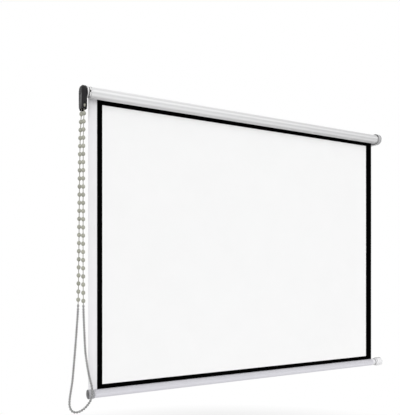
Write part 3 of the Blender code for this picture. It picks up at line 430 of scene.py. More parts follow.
# the hem: painted shade at its top, painted light towards its bottom, and faint painted highlight and shade
# bands
hemCloth = rolledCloth("hem cloth", (0.555, 0.55, 0.585), (0.016, -1.168, 0.06),
                       ("Z", -1.150, -1.178, 0.40))
maskingCloth = cloth("black masking", (0.001, 0.001, 0.001), 0.0006, 0.00004, 0.2, specular=0)
tubePaint = paintedTube("white coated tube", (0.78, 0.78, 0.80))
creamBead = beadFinish("cream chain beads", (0.37, 0.37, 0.31), 0.4, 0.10)
greyBead = beadFinish("dull metal beads", (0.29, 0.29, 0.29), 0.42, 0.12, Metallic=0.6)
cordFinish = cloth("chain cord", (0.40, 0.39, 0.35), 0.0009, 0.00008, 0.06)
print("materials made")


# Camera at the photograph's angle

view = {"eye": (-0.791, -2.2095, -0.6845), "turn": -31.06, "lens": 50.57, "shiftUp": 0.1518}


def makeCamera():
    camera = bpy.data.cameras.new("camera")
    camera.sensor_width = 36
    camera.lens = view["lens"]
    camera.shift_y = view["shiftUp"]
    camera.clip_end = 200
    obj = link(bpy.data.objects.new("camera", camera))
    obj.location = view["eye"]
    obj.rotation_euler = (pi / 2, 0, radians(view["turn"]))
    bpy.context.scene.camera = obj


makeCamera()
print("camera placed")


# The endless chain, on the route that the part's source gives

chain = {
    "route": (
        (-0.0253, -0.0557, -0.03), (-0.0254, -0.0557, -0.07), (-0.0298, -0.0552, -0.16),
        (-0.0322, -0.0547, -0.3), (-0.0338, -0.054, -0.47), (-0.0354, -0.053, -0.65),
        (-0.0376, -0.052, -0.815), (-0.0425, -0.0515, -0.9), (-0.0493, -0.0515, -0.988),
        (-0.0548, -0.0518, -1.05), (-0.06, -0.0521, -1.105), (-0.0666, -0.0526, -1.1463),
        (-0.0708, -0.0532, -1.1709), (-0.0723, -0.0542, -1.1933), (-0.069, -0.0562, -1.2112),
        (-0.0604, -0.0598, -1.2225), (-0.0477, -0.0652, -1.2249), (-0.0351, -0.072, -1.2205),
        (-0.0219, -0.0795, -1.2099), (-0.0104, -0.086, -1.1955), (-0.0019, -0.0913, -1.1795),
        (0.002, -0.0946, -1.1626), (0.0033, -0.095, -1.1455), (0.002, -0.095, -1.129),
        (-0.0017, -0.0949, -1.113), (-0.0071, -0.0945, -1.092), (-0.0121, -0.094, -1.0688),
        (-0.0163, -0.0932, -1.0431), (-0.0202, -0.0922, -1.015), (-0.0232, -0.0912, -0.986),
        (-0.0269, -0.0895, -0.905), (-0.0294, -0.088, -0.815), (-0.0303, -0.0872, -0.65),
        (-0.03, -0.0866, -0.47), (-0.0296, -0.0861, -0.3), (-0.0284, -0.0856, -0.16),
        (-0.0256, -0.0853, -0.07), (-0.0253, -0.0853, -0.0108),
    ),
    "planeX": -0.02525,         # the wheel's plane
    "wheelRadius": 0.0148,      # cord's middle on the wheel
    "joinHeight": -0.815,       # where the fine loop starts
    "beadRadius": 0.0076,
    "beadStretch": 1.15,        # free beads are a little longer than wide
    "caughtRadius": 0.0071,     # beads in the guard stay clear of its walls and of the turning wheel
    "beadPitch": 0.031,
    "dimple": 0.93,             # where the cord goes into a bead
    "ridge": 1.012,             # the mould's parting line round a bead
    "rearDrop": 0.0215,         # first rear bead under the roller's axis
    "cordRadius": 0.0017,
    "cordSteps": 260,
    "routeSteps": 24,           # between two points of the route
    "fineRadius": 0.0048,
    "finePitch": 0.0098,
    "fineStart": 0.6,           # fine pitches from the connector to the first fine bead
    "connector": (0.0046, 0.013),       # radius and length
    "connectorEdge": 0.0006,
    "connectorShape": (         # shares of half its length and of its radius
        (-1, 0), (-1, 0.55), (-0.6, 0.7), (-0.2, 1), (0.2, 1), (0.6, 0.7), (1, 0.55), (1, 0),
    ),
}


def smoothRoute(points, steps):
    points = [Vector(p) for p in points]
    ends = [points[0] * 2 - points[1]] + points + [points[-1] * 2 - points[-2]]
    curve = []
    for a, b, c, d in zip(ends, ends[1:], ends[2:], ends[3:]):
        for i in range(steps):
            t = i / steps
            curve.append(0.5 * ((2 * b) + (c - a) * t + (2 * a - 5 * b + 4 * c - d) * t * t
                                + (3 * b - a - 3 * c + d) * t * t * t))
    return curve + [points[-1]]


class Path:
    def __init__(self, points):
        self.points = points
        self.marks = [0.0]
        for a, b in zip(points, points[1:]):
            self.marks.append(self.marks[-1] + (b - a).length)
        self.length = self.marks[-1]

    def at(self, distance):
        for i in range(1, len(self.points)):
            if distance <= self.marks[i] or i == len(self.points) - 1:
                share = (distance - self.marks[i - 1]) / (self.marks[i] - self.marks[i - 1])
                return self.points[i - 1].lerp(self.points[i], share)

    def along(self, distance):
        return (self.at(min(distance + 0.001, self.length)) - self.at(max(distance - 0.001, 0))).normalized()


def addBead(bm, path, distance, radius, stretch=1, around=20, rings=12):
    # a moulded ball with its parting ridge, threaded on the cord
    direction = path.along(distance)
    turn = Vector((0, 0, 1)).rotation_difference(direction).to_matrix().to_4x4()
    made = bmesh.ops.create_uvsphere(bm, u_segments=around, v_segments=rings, radius=radius)
    for vert in made["verts"]:
        height = vert.co.z / radius
        if abs(height) > 0.97:
            vert.co.z *= chain["dimple"]
        if abs(height) < 0.01:
            vert.co.xy *= chain["ridge"]
        vert.co.z *= stretch
    bmesh.ops.transform(bm, matrix=Matrix.Translation(path.at(distance)) @ turn, verts=made["verts"])


def addFreeBead(bm, path, distance):
    if path.at(distance).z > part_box("chain_guard")[0].z:
        addBead(bm, path, distance, chain["caughtRadius"])
    else:
        addBead(bm, path, distance, chain["beadRadius"], chain["beadStretch"])


def addFineBead(bm, path, distance):
    addBead(bm, path, distance, chain["fineRadius"], around=16, rings=10)


def threadBeads(name, add, material, path, spot, last, pitch, fromEnd=False):
    # beads at an even pitch from spot to last, measured from either end of the path
    bm = bmesh.new()
    while spot < last:
        add(bm, path, path.length - spot if fromEnd else spot)
        spot += pitch
    return meshPiece(name, bm, material)


def makeConnector(name, path, join):
    wide, half = chain["connector"][0], chain["connector"][1] / 2
    outline = [(x * half, r * wide) for x, r in chain["connectorShape"]]
    bm = bmesh.new()
    addLathe(bm, softened(outline, chain["connectorEdge"]), 20, Vector((0, 0, 0)))
    turn = Vector((1, 0, 0)).rotation_difference(path.along(join)).to_matrix().to_4x4()
    bmesh.ops.transform(bm, matrix=Matrix.Translation(path.at(join)) @ turn, verts=bm.verts[:])
    return meshPiece(name, bm, greyBead)


def makeFreeChain(free, rearTop, frontTop):
    pitch, finePitch, half = chain["beadPitch"], chain["finePitch"], chain["connector"][1] / 2
    below = [mark for mark, point in zip(free.marks, free.points) if point.z <= chain["joinHeight"]]
    rearJoin, frontJoin = below[0], below[-1]
    reach = half + chain["beadRadius"] * chain["beadStretch"]
    frontDrop = 2 * pitch - pi * chain["wheelRadius"] - chain["rearDrop"]
    rearBeads = threadBeads("rearBeads", addFreeBead, creamBead, free, chain["rearDrop"] + pitch - rearTop,
                            rearJoin - reach, pitch)
    frontBeads = threadBeads("frontBeads", addFreeBead, creamBead, free, frontDrop + pitch - frontTop,
                             free.length - frontJoin - reach, pitch, fromEnd=True)
    fineBeads = threadBeads("fineBeads", addFineBead, greyBead, free,
                            rearJoin + half + play + finePitch * chain["fineStart"],
                            frontJoin - half - play - chain["fineRadius"], finePitch)
    connectors = [makeConnector("rearConnector", free, rearJoin),
                  makeConnector("frontConnector", free, frontJoin)]

    steps = chain["cordSteps"]
    cordPoints = [free.at(free.length * i / steps) for i in range(steps + 1)]
    cord = tubeAlong("chainCord", cordPoints, chain["cordRadius"], cordFinish)
    fit(cord, "mount", "cream_bead", "chain_strand_rear", "chain_strand_front", "chain_loop_lower",
        "chain_connector_rear", "chain_connector_front")
    for piece in (rearBeads, frontBeads):
        fit(piece, "mount", "cream_bead")
    for piece in [fineBeads] + connectors:
        fit(piece, "mount", "metal_bead")


def makeWheelChain(rearTop, frontTop):
    wheelX, r = chain["planeX"], chain["wheelRadius"]
    points = [Vector((wheelX, rollAxis.y + r, -rearTop + play))]
    points += [Vector((wheelX, y, z)) for y, z in arcPoints(rollCentre, r, 0, 180, 36)]
    points += [Vector((wheelX, rollAxis.y - r, -frontTop + play))]
    path = Path(points)
    beads = threadBeads("wheelBeads", addFreeBead, creamBead, path, rearTop - play - chain["rearDrop"],
                        path.length, chain["beadPitch"])
    cord = tubeAlong("wheelCord", points, chain["cordRadius"], cordFinish)
    fit(cord, "mount", "cream_bead", "chain_on_wheel")
    fit(beads, "mount", "cream_bead")


def makeChain():
    rearTop, frontTop = -chain["route"][0][2], -chain["route"][-1][2]
    makeFreeChain(Path(smoothRoute(chain["route"], chain["routeSteps"])), rearTop, frontTop)
    makeWheelChain(rearTop, frontTop)


makeChain()
print("chain threaded")


# The hanging sheet, its black borders and the roll

sheetLook = {
    "across": 96,
    "down": 72,
    "ripple": 0.0007,
    "rippleScale": (2.1, 1.3, 4.2),     # along x, along z, and which part of the noise is used
    "rippleHold": 0.7,
    "notchGap": 0.002,          # the sheet's lower corner is cut away this far above the knob
    "knobLine": 0.020,          # a line of the cloth's grid crosses the knob this far from its inner end
    "borderThick": 0.0003,
    "borderGap": 0.00025,
    "borderLap": 0.0003,
    "lift": 1.1071,             # the bar's whole travel
}


def hangRipple(x, z):
    # how far the cloth stands off its plane: nothing at the roll and the bar
    down = min(1, max(0, z / sheetLow.z))
    hold = sin(pi * down) ** sheetLook["rippleHold"]
    scaleX, scaleZ, part = sheetLook["rippleScale"]
    return sheetLook["ripple"] * hold * 2 * noise.noise(Vector((x * scaleX, z * scaleZ, part)))


def between(low, high, share):
    return low + (high - low) * share


def addPanel(bm, across, down, place):
    # a thin closed panel; place gives the point at shares u and v of its first and its second face
    grid = {}
    for side in (0, 1):
        for i in range(across + 1):
            for k in range(down + 1):
                grid[side, i, k] = bm.verts.new(place(side, i / across, k / down))
    for side in (0, 1):
        for i in range(across):
            for k in range(down):
                corners = ((i, k), (i + 1, k), (i + 1, k + 1), (i, k + 1))
                bm.faces.new([grid[side, *corner] for corner in corners])
    rim = [(i, 0) for i in range(across)] + [(across, k) for k in range(down)]
    rim += [(i, down) for i in range(across, 0, -1)] + [(0, k) for k in range(down, 0, -1)]
    for a, b in zip(rim, rim[1:] + rim[:1]):
        bm.faces.new((grid[0, *a], grid[0, *b], grid[1, *b], grid[1, *a]))
    return bm


def gridLines(low, high, count, *edges):
    # even lines over the cloth, and one along each edge that has to be straight
    even = [low + (high - low) * i / count for i in range(count + 1)]
    return sorted({round(v, 6) for v in even + list(edges)})


def makeSheet():
    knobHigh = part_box("bar_knob_left")[1]
    notchX, notchZ = sleeveLow.x, knobHigh.z + sheetLook["notchGap"]
    linesX = gridLines(sheetLow.x, sheetHigh.x, sheetLook["across"], knobHigh.x - sheetLook["knobLine"],
                       notchX, sideLow.x, sideHigh.x, farLow.x)
    linesZ = gridLines(sheetLow.z, rollAxis.z, sheetLook["down"], notchZ, topLow.z, footHigh.z)
    bm = bmesh.new()
    verts = {}
    for i, x in enumerate(linesX):
        for k, z in enumerate(linesZ):
            verts[i, k] = bm.verts.new((x, sheetFront + hangRipple(x, z), z))
    for i, (x, nextX) in enumerate(zip(linesX, linesX[1:])):
        for k, (z, nextZ) in enumerate(zip(linesZ, linesZ[1:])):
            midX, midZ = (x + nextX) / 2, (z + nextZ) / 2
            if midX < notchX and midZ < notchZ:
                continue
            face = bm.faces.new((verts[i, k], verts[i + 1, k], verts[i + 1, k + 1], verts[i, k + 1]))
            inside = sideHigh.x < midX < farLow.x and footHigh.z < midZ < topLow.z
            face.material_index = 0 if inside else 1
    loose = [v for v in bm.verts if not v.link_faces]
    bmesh.ops.delete(bm, geom=loose, context="VERTS")
    back = set(pull(bm, bm.faces[:], (0, sheetThick, 0), use_keep_orig=True))
    for face in bm.faces:
        if abs(face.normal.y) < 0.5 or all(v in back for v in face.verts):
            face.material_index = 1
    return meshPiece("screenSheet", bm, pictureCloth, marginCloth)


def addBorder(bm, x0, x1, z0, z1, across, down):
    # a strip that follows the cloth's ripple
    def place(side, u, v):
        x, z = between(x0, x1, u), between(z0, z1, v)
        y = sheetFront - sheetLook["borderGap"] - (1 - side) * sheetLook["borderThick"]
        return (x, y + hangRipple(x, z), z)

    addPanel(bm, across, down, place)


def makeBorder():
    lap = sheetLook["borderLap"]
    bm = bmesh.new()
    for low, high in ((topLow, topHigh), (footLow, footHigh)):
        addBorder(bm, topLow.x, topHigh.x, low.z, high.z, sheetLook["across"], 2)
    for low, high in ((sideLow, sideHigh), (farLow, farHigh)):
        addBorder(bm, low.x, high.x, low.z - lap, high.z + lap, 2, sheetLook["down"])
    return meshPiece("blackBorder", bm, maskingCloth)


rollLook = {
    "outerSweep": 335,          # degrees of the turn that leads on to the hanging sheet
    "around": 132,
    "along": 48,
    "ripple": 0.00022,
    "fade": 8,                  # the ripple grows to its full depth over an eighth at each end
    "flats": 13,                # faint flats of wound cloth round the roll
    "flatDrift": (1.5, 0.9, 1.7),
    "dents": (0.7, 2.6, 0.8),   # share, then scale round the roll and along it
    "turns": 1.5,
    "turnThick": 0.0003,
    "turnAround": 96,
    "turnAlong": 24,
    "startsAt": 250,            # degrees where the cloth leaves the tube
}


def rollWave(angle, x):
    drift, driftScale, part = rollLook["flatDrift"]
    dent, scaleRound, scaleAlong = rollLook["dents"]
    wave = sin(angle * rollLook["flats"] + drift * noise.noise(Vector((x * driftScale, 0, part))))
    spot = Vector((cos(angle) * scaleRound, sin(angle) * scaleRound, x * scaleAlong))
    return wave + dent * noise.noise(spot)


def makeOuterTurn():
    def place(side, u, v):
        angle = radians(rollLook["outerSweep"] * u)
        x = between(sheetLow.x, sheetHigh.x, v)
        fade = min(1, u * rollLook["fade"], (1 - u) * rollLook["fade"])
        dip = rollLook["ripple"] * fade * (1 - rollWave(angle, x)) * 0.5
        return ringPoint(x, turnOuter - side * sheetThick - dip, angle)

    turn = addPanel(bmesh.new(), rollLook["around"], rollLook["along"], place)
    return meshPiece("outerTurn", turn, rollCloth)


def makeRolledCloth():
    # the turns that stay on the tube, wound as one spiral, so both ends show its edge
    inner = tubeHigh.z - rollAxis.z + play
    turns, thick = rollLook["turns"], rollLook["turnThick"]
    pitch = (rollRadius - inner - thick) / turns

    def place(side, u, v):
        angle = 2 * pi * turns * u + radians(rollLook["startsAt"])
        radius = inner + pitch * turns * u + thick * (1 - side)
        return ringPoint(between(rollLow.x, rollHigh.x, v), radius, angle)

    wound = addPanel(bmesh.new(), int(rollLook["turnAround"] * turns), rollLook["turnAlong"], place)
    return meshPiece("rolledCloth", wound, rollCloth, sharp=60)


hemLook = {
    "thick": 0.0006,
    "seam": 0.01,               # a ring of edges this far from its left end
}


def makeHem():
    outer = (sleeveHigh.z - sleeveLow.z) / 2
    inner = outer - hemLook["thick"]
    left, right = sleeveLow.x, sleeveHigh.x
    bm = bmesh.new()
    addLathe(bm, tubeOutline(left, right, inner, outer), 72, barAxis)
    bmesh.ops.bisect_plane(bm, geom=bm.verts[:] + bm.edges[:] + bm.faces[:],
                           plane_co=(left + hemLook["seam"], 0, 0), plane_no=(1, 0, 0))
    return meshPiece("hemSleeve", bm, hemCloth)


def hangCloth():
    sheet = makeSheet()
    border = makeBorder()
    turn = makeOuterTurn()
    rolled = makeRolledCloth()
    hem = makeHem()
    fit(sheet, "mount", "white_fabric", "screen_fabric")
    fit(border, "mount", "black_fabric", "border_top", "border_bottom", "border_left", "border_right")
    fit(turn, "mount", "white_fabric", "screen_fabric")
    fit(rolled, "roller", "white_fabric", "fabric_turns")
    fit(hem, "bar", "hem_fabric", "hem_sleeve")

    for piece in (sheet, border):
        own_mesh(piece)


hangCloth()
print("sheet hung")


# Bottom bar and its ends

barLook = {
    "wall": 0.0014,
    "tubeEdge": 0.0003,
    "soft": 0.0006,             # rounding of the ends' edges
    # an end's profile, as places along X with shares of its radius: out from its seat, then in from its tip
    "knobNeck": ((0, 0.93), (0.0040, 0.97), (0.0046, 0.90), (0.0062, 0.90), (0.0068, 0.98), (0.0100, 1)),
    "knobFace": ((0.0024, 1), (0.0006, 0.95), (0, 0.88), (0, 0.80), (0.0014, 0.76), (0.0014, 0.30),
                 (0.0004, 0.24), (0.0004, 0)),
    "knobShadeReach": 0.004,          # faces this near the knob's outer end take a painted shade
    "capNeck": ((0, 0.84), (0.0022, 0.90), (0.0026, 0.80), (0.0046, 0.80), (0.0050, 0.95), (0.0064, 1)),
    "capFace": ((0.0012, 1), (0, 0.95), (0, 0.78), (0.0015, 0.74), (0.0015, 0)),
    "ringInset": 0.0075,
    "ringWidth": 0.0024,
    "ringThick": (0.0001, 0.0016),      # inside and outside over the bar's tube
}


def makeBarEnd(name, node, seat, out, neck, face, material, slot):
    # out is the way the end points along X
    low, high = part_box(node)
    wide = (high.z - low.z) / 2
    inside, tip = (low.x, high.x) if out > 0 else (high.x, low.x)
    spigot = barRadius - barLook["wall"] - play
    outline = [(inside, 0), (inside, spigot), (seat, spigot)]
    outline += [(seat + out * x, wide * share) for x, share in barLook[neck]]
    outline += [(tip - out * x, wide * share) for x, share in barLook[face]]
    end = lathe(name, outline, 72, barAxis, material, edge=barLook["soft"])
    fit(end, "bar", slot, node)
    return end


def makeBarPieces():
    low, high = barLow.x, barHigh.x
    outline = tubeOutline(low, high, barRadius - barLook["wall"], barRadius)
    bar = lathe("bottomBar", outline, 72, barAxis, tubePaint, edge=barLook["tubeEdge"])
    fit(bar, "bar", "white_metal", "bottom_bar")

    knob = makeBarEnd("barKnob", "bar_knob_left", low - play, -1, "knobNeck", "knobFace", knobPlastic,
                      "grey_plastic")
    # painted shade: the knob's outward end faces take the dark end material
    knob.data.materials.append(knobFace)
    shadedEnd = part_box("bar_knob_left")[0].x + barLook["knobShadeReach"]
    for face in knob.data.polygons:
        if face.normal.x < -0.75 and face.center.x < shadedEnd:
            face.material_index = 1
    makeBarEnd("barCap", "bar_cap_right", high + play, 1, "capNeck", "capFace", capPlasticShadedTop, "clear_plastic")

    left = high - barLook["ringInset"]
    inner, outer = [barRadius + thick for thick in barLook["ringThick"]]
    outline = tubeOutline(left, left + barLook["ringWidth"], inner, outer)
    ring = lathe("capSealRing", outline, 72, barAxis, sealRubber, edge=barLook["soft"])
    fit(ring, "bar", "black_plastic")


makeBarPieces()
print("bottom bar made")


# Left bracket, guard and clutch

leftBracket = {
    "sheet": 0.0025, "edge": 0.0006,
    "noseRadius": 0.025, "noseFront": 0.026,        # the plate's round front, and its reach before the axis
    "tabDepth": 0.038, "shaftHole": 0.0065,
    "plateHoles": (             # place along y and z, and radius
        (-0.011, 0.010, 0.00275), (-0.022, -0.003, 0.002),
        (-0.010, -0.026, 0.002), (-0.021, -0.026, 0.002),
    ),
    "wallHole": 0.00275, "wallHoleX": 0.006, "wallHoleZ": (0.010, -0.024),
    "slotHalf": 0.006, "slotOut": 0.021,            # the ceiling tab's slot, and its place from the wall
}
guard = {
    "wall": 0.0014, "cavity": 0.0222, "faceCorner": 0.010, "wallCorner": 0.0016, "edge": 0.0005,
    "slopeLength": 0.0066, "slopeDrop": 0.0062,
    "stubHole": 0.0043, "bossRadius": 0.0125, "groove": (0.0012, 0.0006),       # width and depth
    "windowHalf": (0.0045, 0.0095), "windowDrop": 0.0575,
    "earScrewZ": (0.009, -0.015), "earLength": 0.011, "earThick": 0.003, "earEdge": 0.006,
}
clutch = {
    "flange": 0.0072, "barrel": 0.0115, "bore": 0.0053, "chamfer": 0.0007,
    "screwCircle": 0.0172, "screwAngles": (90, 210, 330), "sinkRadius": 0.0036, "sinkDepth": 0.003,
    "crownBore": 0.0142, "crownEdge": 0.0006, "collar": 0.0055, "endWall": 0.006, "lead": 0.0018,
    "tubeWall": 0.0015,
    "squareHalf": 0.0037, "keyHalf": 0.0038, "keyTop": -0.0148,
    "slots": 5, "slotTurn": 18, "slotHalf": 0.0046, "slotLength": 0.0046,
    "drumRadius": (0.0120, 0.0205, 0.0138),         # bore, outside, and its neck in the crown
    "drumNeck": 0.0042, "drumGap": 0.0002, "drumEdge": 0.0003,
}
screwLook = {
    "hole": 0.0023, "shank": 0.0019, "headDepth": 0.0022,
    "point": (0.0006, 0.8),     # length, and share of the shank at the tip
    "dome": ((0.0009, 1), (0.0003, 0.86), (0, 0.62), (0, 0)),      # depth, share of the head's radius
    "crossDepth": 0.0012,
    "crossHalf": (0.5, 0.13),   # length and width, as shares of the head's radius
}


def addPegs(bm, radius, places, x0, x1, steps=28):
    # straight along X, also to cut holes with
    for y, z in places:
        addRod(bm, (x0, y, z), (x1, y, z), radius, steps)


def hubScrewPlaces():
    return [arcPoints(rollCentre, clutch["screwCircle"], degrees, degrees, 1)[0]
            for degrees in clutch["screwAngles"]]


def earScrewPlaces():
    y = rollAxis.y + guard["cavity"] + guard["wall"] + guard["earLength"] / 2
    return [(y, z) for z in guard["earScrewZ"]]


def makeLeftBracket():
    low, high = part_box("left_bracket")
    look = leftBracket
    sheet, wide = look["sheet"], look["wallHole"]
    plate, flange, tab, holes, slot = [bmesh.new() for _ in range(5)]
    noseCentre = (rollAxis.y - look["noseFront"] + look["noseRadius"], high.z - look["noseRadius"])
    outline = [(high.y, low.z), (high.y, high.z)] + arcPoints(noseCentre, look["noseRadius"], 90, 270, 40)
    addPrism(plate, outline, low.x, low.x + sheet)
    addBox(flange, (low.x, high.y - sheet, low.z), high)
    addBox(tab, (low.x, high.y - look["tabDepth"], high.z - sheet), high)
    left, right = low.x - cutPast, low.x + sheet + cutPast
    addPegs(holes, look["shaftHole"], [rollCentre], left, right, 48)
    for y, z, radius in look["plateHoles"]:
        addPegs(holes, radius, [(y, z)], left, right)
    addPegs(holes, screwLook["hole"], hubScrewPlaces() + earScrewPlaces(), left, right)
    x = look["wallHoleX"]
    for z in look["wallHoleZ"]:
        addRod(holes, (x, high.y - sheet - cutPast, z), (x, high.y + cutPast, z), wide, 32)
    reach = look["slotHalf"] - wide
    corners = arcPoints((x - reach, -look["slotOut"]), wide, 90, 270, 12)
    corners += arcPoints((x + reach, -look["slotOut"]), wide, -90, 90, 12)
    pullFace(slot, [(x, y, high.z - sheet - cutPast) for x, y in corners], (0, 0, sheet + 2 * cutPast))
    bracket = carve("wallBracket", plate, blackSteel, ("UNION", flange), ("UNION", tab),
                    ("DIFFERENCE", holes), ("DIFFERENCE", slot), edge=look["edge"])
    fit(bracket, "mount", "black_steel", "left_bracket")


def guardOutline(radius, bottom, corner):
    outline = arcPoints(rollCentre, radius, 0, 180, 56)
    outline += arcPoints((rollAxis.y - radius + corner, bottom + corner), corner, 180, 270, 12)
    return outline + arcPoints((rollAxis.y + radius - corner, bottom + corner), corner, 270, 360, 12)


def addSections(bm, sections):
    loops = [[bm.verts.new((x, y, z)) for y, z in outline] for x, outline in sections]
    for before, after in zip(loops, loops[1:]):
        for i in range(len(before)):
            k = (i + 1) % len(before)
            bm.faces.new((before[i], before[k], after[k], after[i]))
    bm.faces.new(loops[0])
    bm.faces.new(loops[-1])


def makeGuard():
    low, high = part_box("chain_guard")
    look = guard
    wall, inner = look["wall"], look["cavity"]
    outer = inner + wall
    slope, drop = look["slopeLength"], look["slopeDrop"]
    innerSlope = slope - wall / 2
    innerDrop = drop * innerSlope / slope
    shell, ear, cavity, holes, window, groove = [bmesh.new() for _ in range(6)]
    side = guardOutline(outer, low.z, look["wallCorner"])
    front = guardOutline(outer - drop, low.z + drop / 2, look["faceCorner"])
    addSections(shell, ((low.x, front), (low.x + slope, side), (high.x, side)))

    earLow, earHigh = min(look["earScrewZ"]) - look["earEdge"], max(look["earScrewZ"]) + look["earEdge"]
    addBox(ear, (high.x - look["earThick"], rollAxis.y + inner + wall / 2, earLow),
           (high.x, rollAxis.y + outer + look["earLength"], earHigh))

    inside = low.x + wall
    below = low.z - look["faceCorner"] - cutPast
    mouth = guardOutline(inner, below, look["wallCorner"])
    narrow = guardOutline(inner - innerDrop, below, look["wallCorner"])
    addSections(cavity, ((inside, narrow), (inside + innerSlope, mouth), (high.x + cutPast, mouth)))

    addPegs(holes, look["stubHole"], [rollCentre], low.x - cutPast, inside + cutPast, 40)
    addPegs(holes, screwLook["hole"], earScrewPlaces(), high.x - look["earThick"] - cutPast, high.x + cutPast)
    wide, tall = look["windowHalf"]
    circle = arcPoints((0, 0), 1, 0, 351, 39)
    hole = [(chain["planeX"] + wide * x, rollAxis.y - outer - cutPast, -look["windowDrop"] + tall * z)
            for x, z in circle]
    pullFace(window, hole, (0, wall + 2 * cutPast, 0))
    boss = look["bossRadius"]
    width, depth = look["groove"]
    addLathe(groove, tubeOutline(low.x - cutPast, low.x + depth, boss, boss + width), 64, rollAxis)
    cover = carve("chainGuard", shell, blackPlastic, ("UNION", ear), ("DIFFERENCE", cavity),
                  ("DIFFERENCE", holes), ("DIFFERENCE", window), ("DIFFERENCE", groove), edge=look["edge"])
    fit(cover, "mount", "black_plastic", "chain_guard")


def makeHub():
    low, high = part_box("clutch_hub")
    look = clutch
    radius = high.z
    right = low.x + look["flange"]
    outline = [(low.x, look["bore"]), (low.x, radius), (right, radius), (right, look["barrel"]),
               (high.x, look["barrel"]), (high.x, look["bore"])]
    hub, holes, sinks = [bmesh.new() for _ in range(3)]
    addLathe(hub, softened(outline, look["chamfer"]), 96, rollAxis)
    addPegs(holes, screwLook["hole"], hubScrewPlaces(), low.x - cutPast, right + cutPast)
    addPegs(sinks, look["sinkRadius"], hubScrewPlaces(), right - look["sinkDepth"], right + cutPast)
    hub = carve("clutchHub", hub, whitePlastic, ("DIFFERENCE", holes), ("DIFFERENCE", sinks), edge=0)
    fit(hub, "mount", "white_plastic", "clutch_hub")


def makeCrown():
    low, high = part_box("drive_crown")
    look = clutch
    seat, floor = low.x + look["collar"], high.x - look["endWall"]
    body = tubeHigh.z - look["tubeWall"] - play
    outline = [(low.x, look["crownBore"]), (low.x, high.z), (seat, high.z), (seat, body),
               (high.x - look["lead"], body), (high.x, body - look["lead"]), (high.x, 0), (floor, 0),
               (floor, look["crownBore"])]
    crown, keyway, square, slots = [bmesh.new() for _ in range(4)]
    addLathe(crown, softened(outline, look["crownEdge"]), 96, rollAxis)
    half, key = look["squareHalf"], look["keyHalf"]
    addBox(keyway, (seat, rollAxis.y - key, rollAxis.z - tubeHigh.z - cutPast),
           (high.x + cutPast, rollAxis.y + key, rollAxis.z + look["keyTop"]))
    addBox(square, (floor - cutPast, rollAxis.y - half, rollAxis.z - half),
           (high.x + cutPast, rollAxis.y + half, rollAxis.z + half))
    for n in range(look["slots"]):
        notch = addBox(slots, (low.x - cutPast, -look["slotHalf"], look["barrel"]),
                       (low.x + look["slotLength"], look["slotHalf"], high.z + cutPast))
        degrees = look["slotTurn"] + 360 * n / look["slots"]
        turn = Matrix.Translation(rollAxis) @ Matrix.Rotation(radians(degrees), 4, "X")
        bmesh.ops.transform(slots, matrix=turn, verts=notch)
    crown = carve("driveCrown", crown, whitePlastic, ("DIFFERENCE", keyway), ("DIFFERENCE", square),
                  ("DIFFERENCE", slots), edge=0)
    fit(crown, "roller", "white_plastic", "drive_crown")


def makeClutchDrum():
    # dark brake drum that shows between the hub and the crown and in the crown's slots
    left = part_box("clutch_hub")[0].x + clutch["flange"] + clutch["drumGap"]
    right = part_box("drive_crown")[0].x
    bore, outside, neck = clutch["drumRadius"]
    reach = right + clutch["drumNeck"]
    outline = [(left, bore), (left, outside), (right - play, outside), (right - play, neck), (reach, neck),
               (reach, bore)]
    drum = lathe("clutchSleeve", outline, 72, rollAxis, blackPlastic, edge=clutch["drumEdge"])
    fit(drum, "mount", "black_plastic")


def makeScrew(name, node, out):
    # pan head with a cross recess; out is the way the head points along X
    low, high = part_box(node)
    look = screwLook
    centre = (low + high) / 2
    top, tip = (low.x, high.x) if out < 0 else (high.x, low.x)
    seat = top - out * look["headDepth"]
    shank, head = look["shank"], (high.z - low.z) / 2
    point, pointShare = look["point"]
    outline = [(tip, 0), (tip, shank * pointShare), (tip + out * point, shank), (seat, shank), (seat, head)]
    outline += [(top - out * depth, head * share) for depth, share in look["dome"]]
    body, recess = bmesh.new(), bmesh.new()
    addLathe(body, outline, 40, centre)
    ends = sorted((top - out * look["crossDepth"], top + out * 0.001))
    wide, thin = [head * share for share in look["crossHalf"]]
    corners = []
    for quarter in range(4):
        turn = radians(90 * quarter)
        for y, z in ((wide, -thin), (wide, thin), (thin, thin)):
            corners.append((centre.y + y * cos(turn) - z * sin(turn),
                            centre.z + y * sin(turn) + z * cos(turn)))
    addPrism(recess, corners, *ends)
    screw = carve(name, body, zinc, ("DIFFERENCE", recess), edge=0)
    fit(screw, "mount", "bright_steel", node)


def makeSpring(name, node, wire, turns, pressed=None):
    # pressed names the joint that shortens the spring from its right end, and by how much; here it only gives
    # the spring a mesh of its own
    low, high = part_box(node)
    radius = (high.z - low.z) / 2 - wire
    left, right = low.x + wire, high.x - wire
    count = turns * 40
    points = []
    for i in range(count + 1):
        points.append(ringPoint(left + (right - left) * i / count, radius, 2 * pi * turns * i / count))
    wound = tubeAlong(name + "Curve", points, wire, zinc, resolution=3)
    spring = link(bpy.data.objects.new(name, asMesh(wound)))
    bpy.data.objects.remove(wound, do_unlink=True)
    fit(spring, "roller", "bright_steel", node)
    if pressed:
        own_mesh(spring)


makeLeftBracket()
makeGuard()
makeHub()
makeCrown()
makeClutchDrum()
makeScrew("guardScrewUpper", "guard_screw_1", -1)
makeScrew("guardScrewLower", "guard_screw_2", -1)
for number in ("1", "2", "3"):
    makeScrew("hubScrew" + number, "hub_screw_" + number, 1)
makeSpring("wrapSpring", "wrap_spring", wire=0.0007, turns=5)
print("left end made")


# Right bracket and its cover

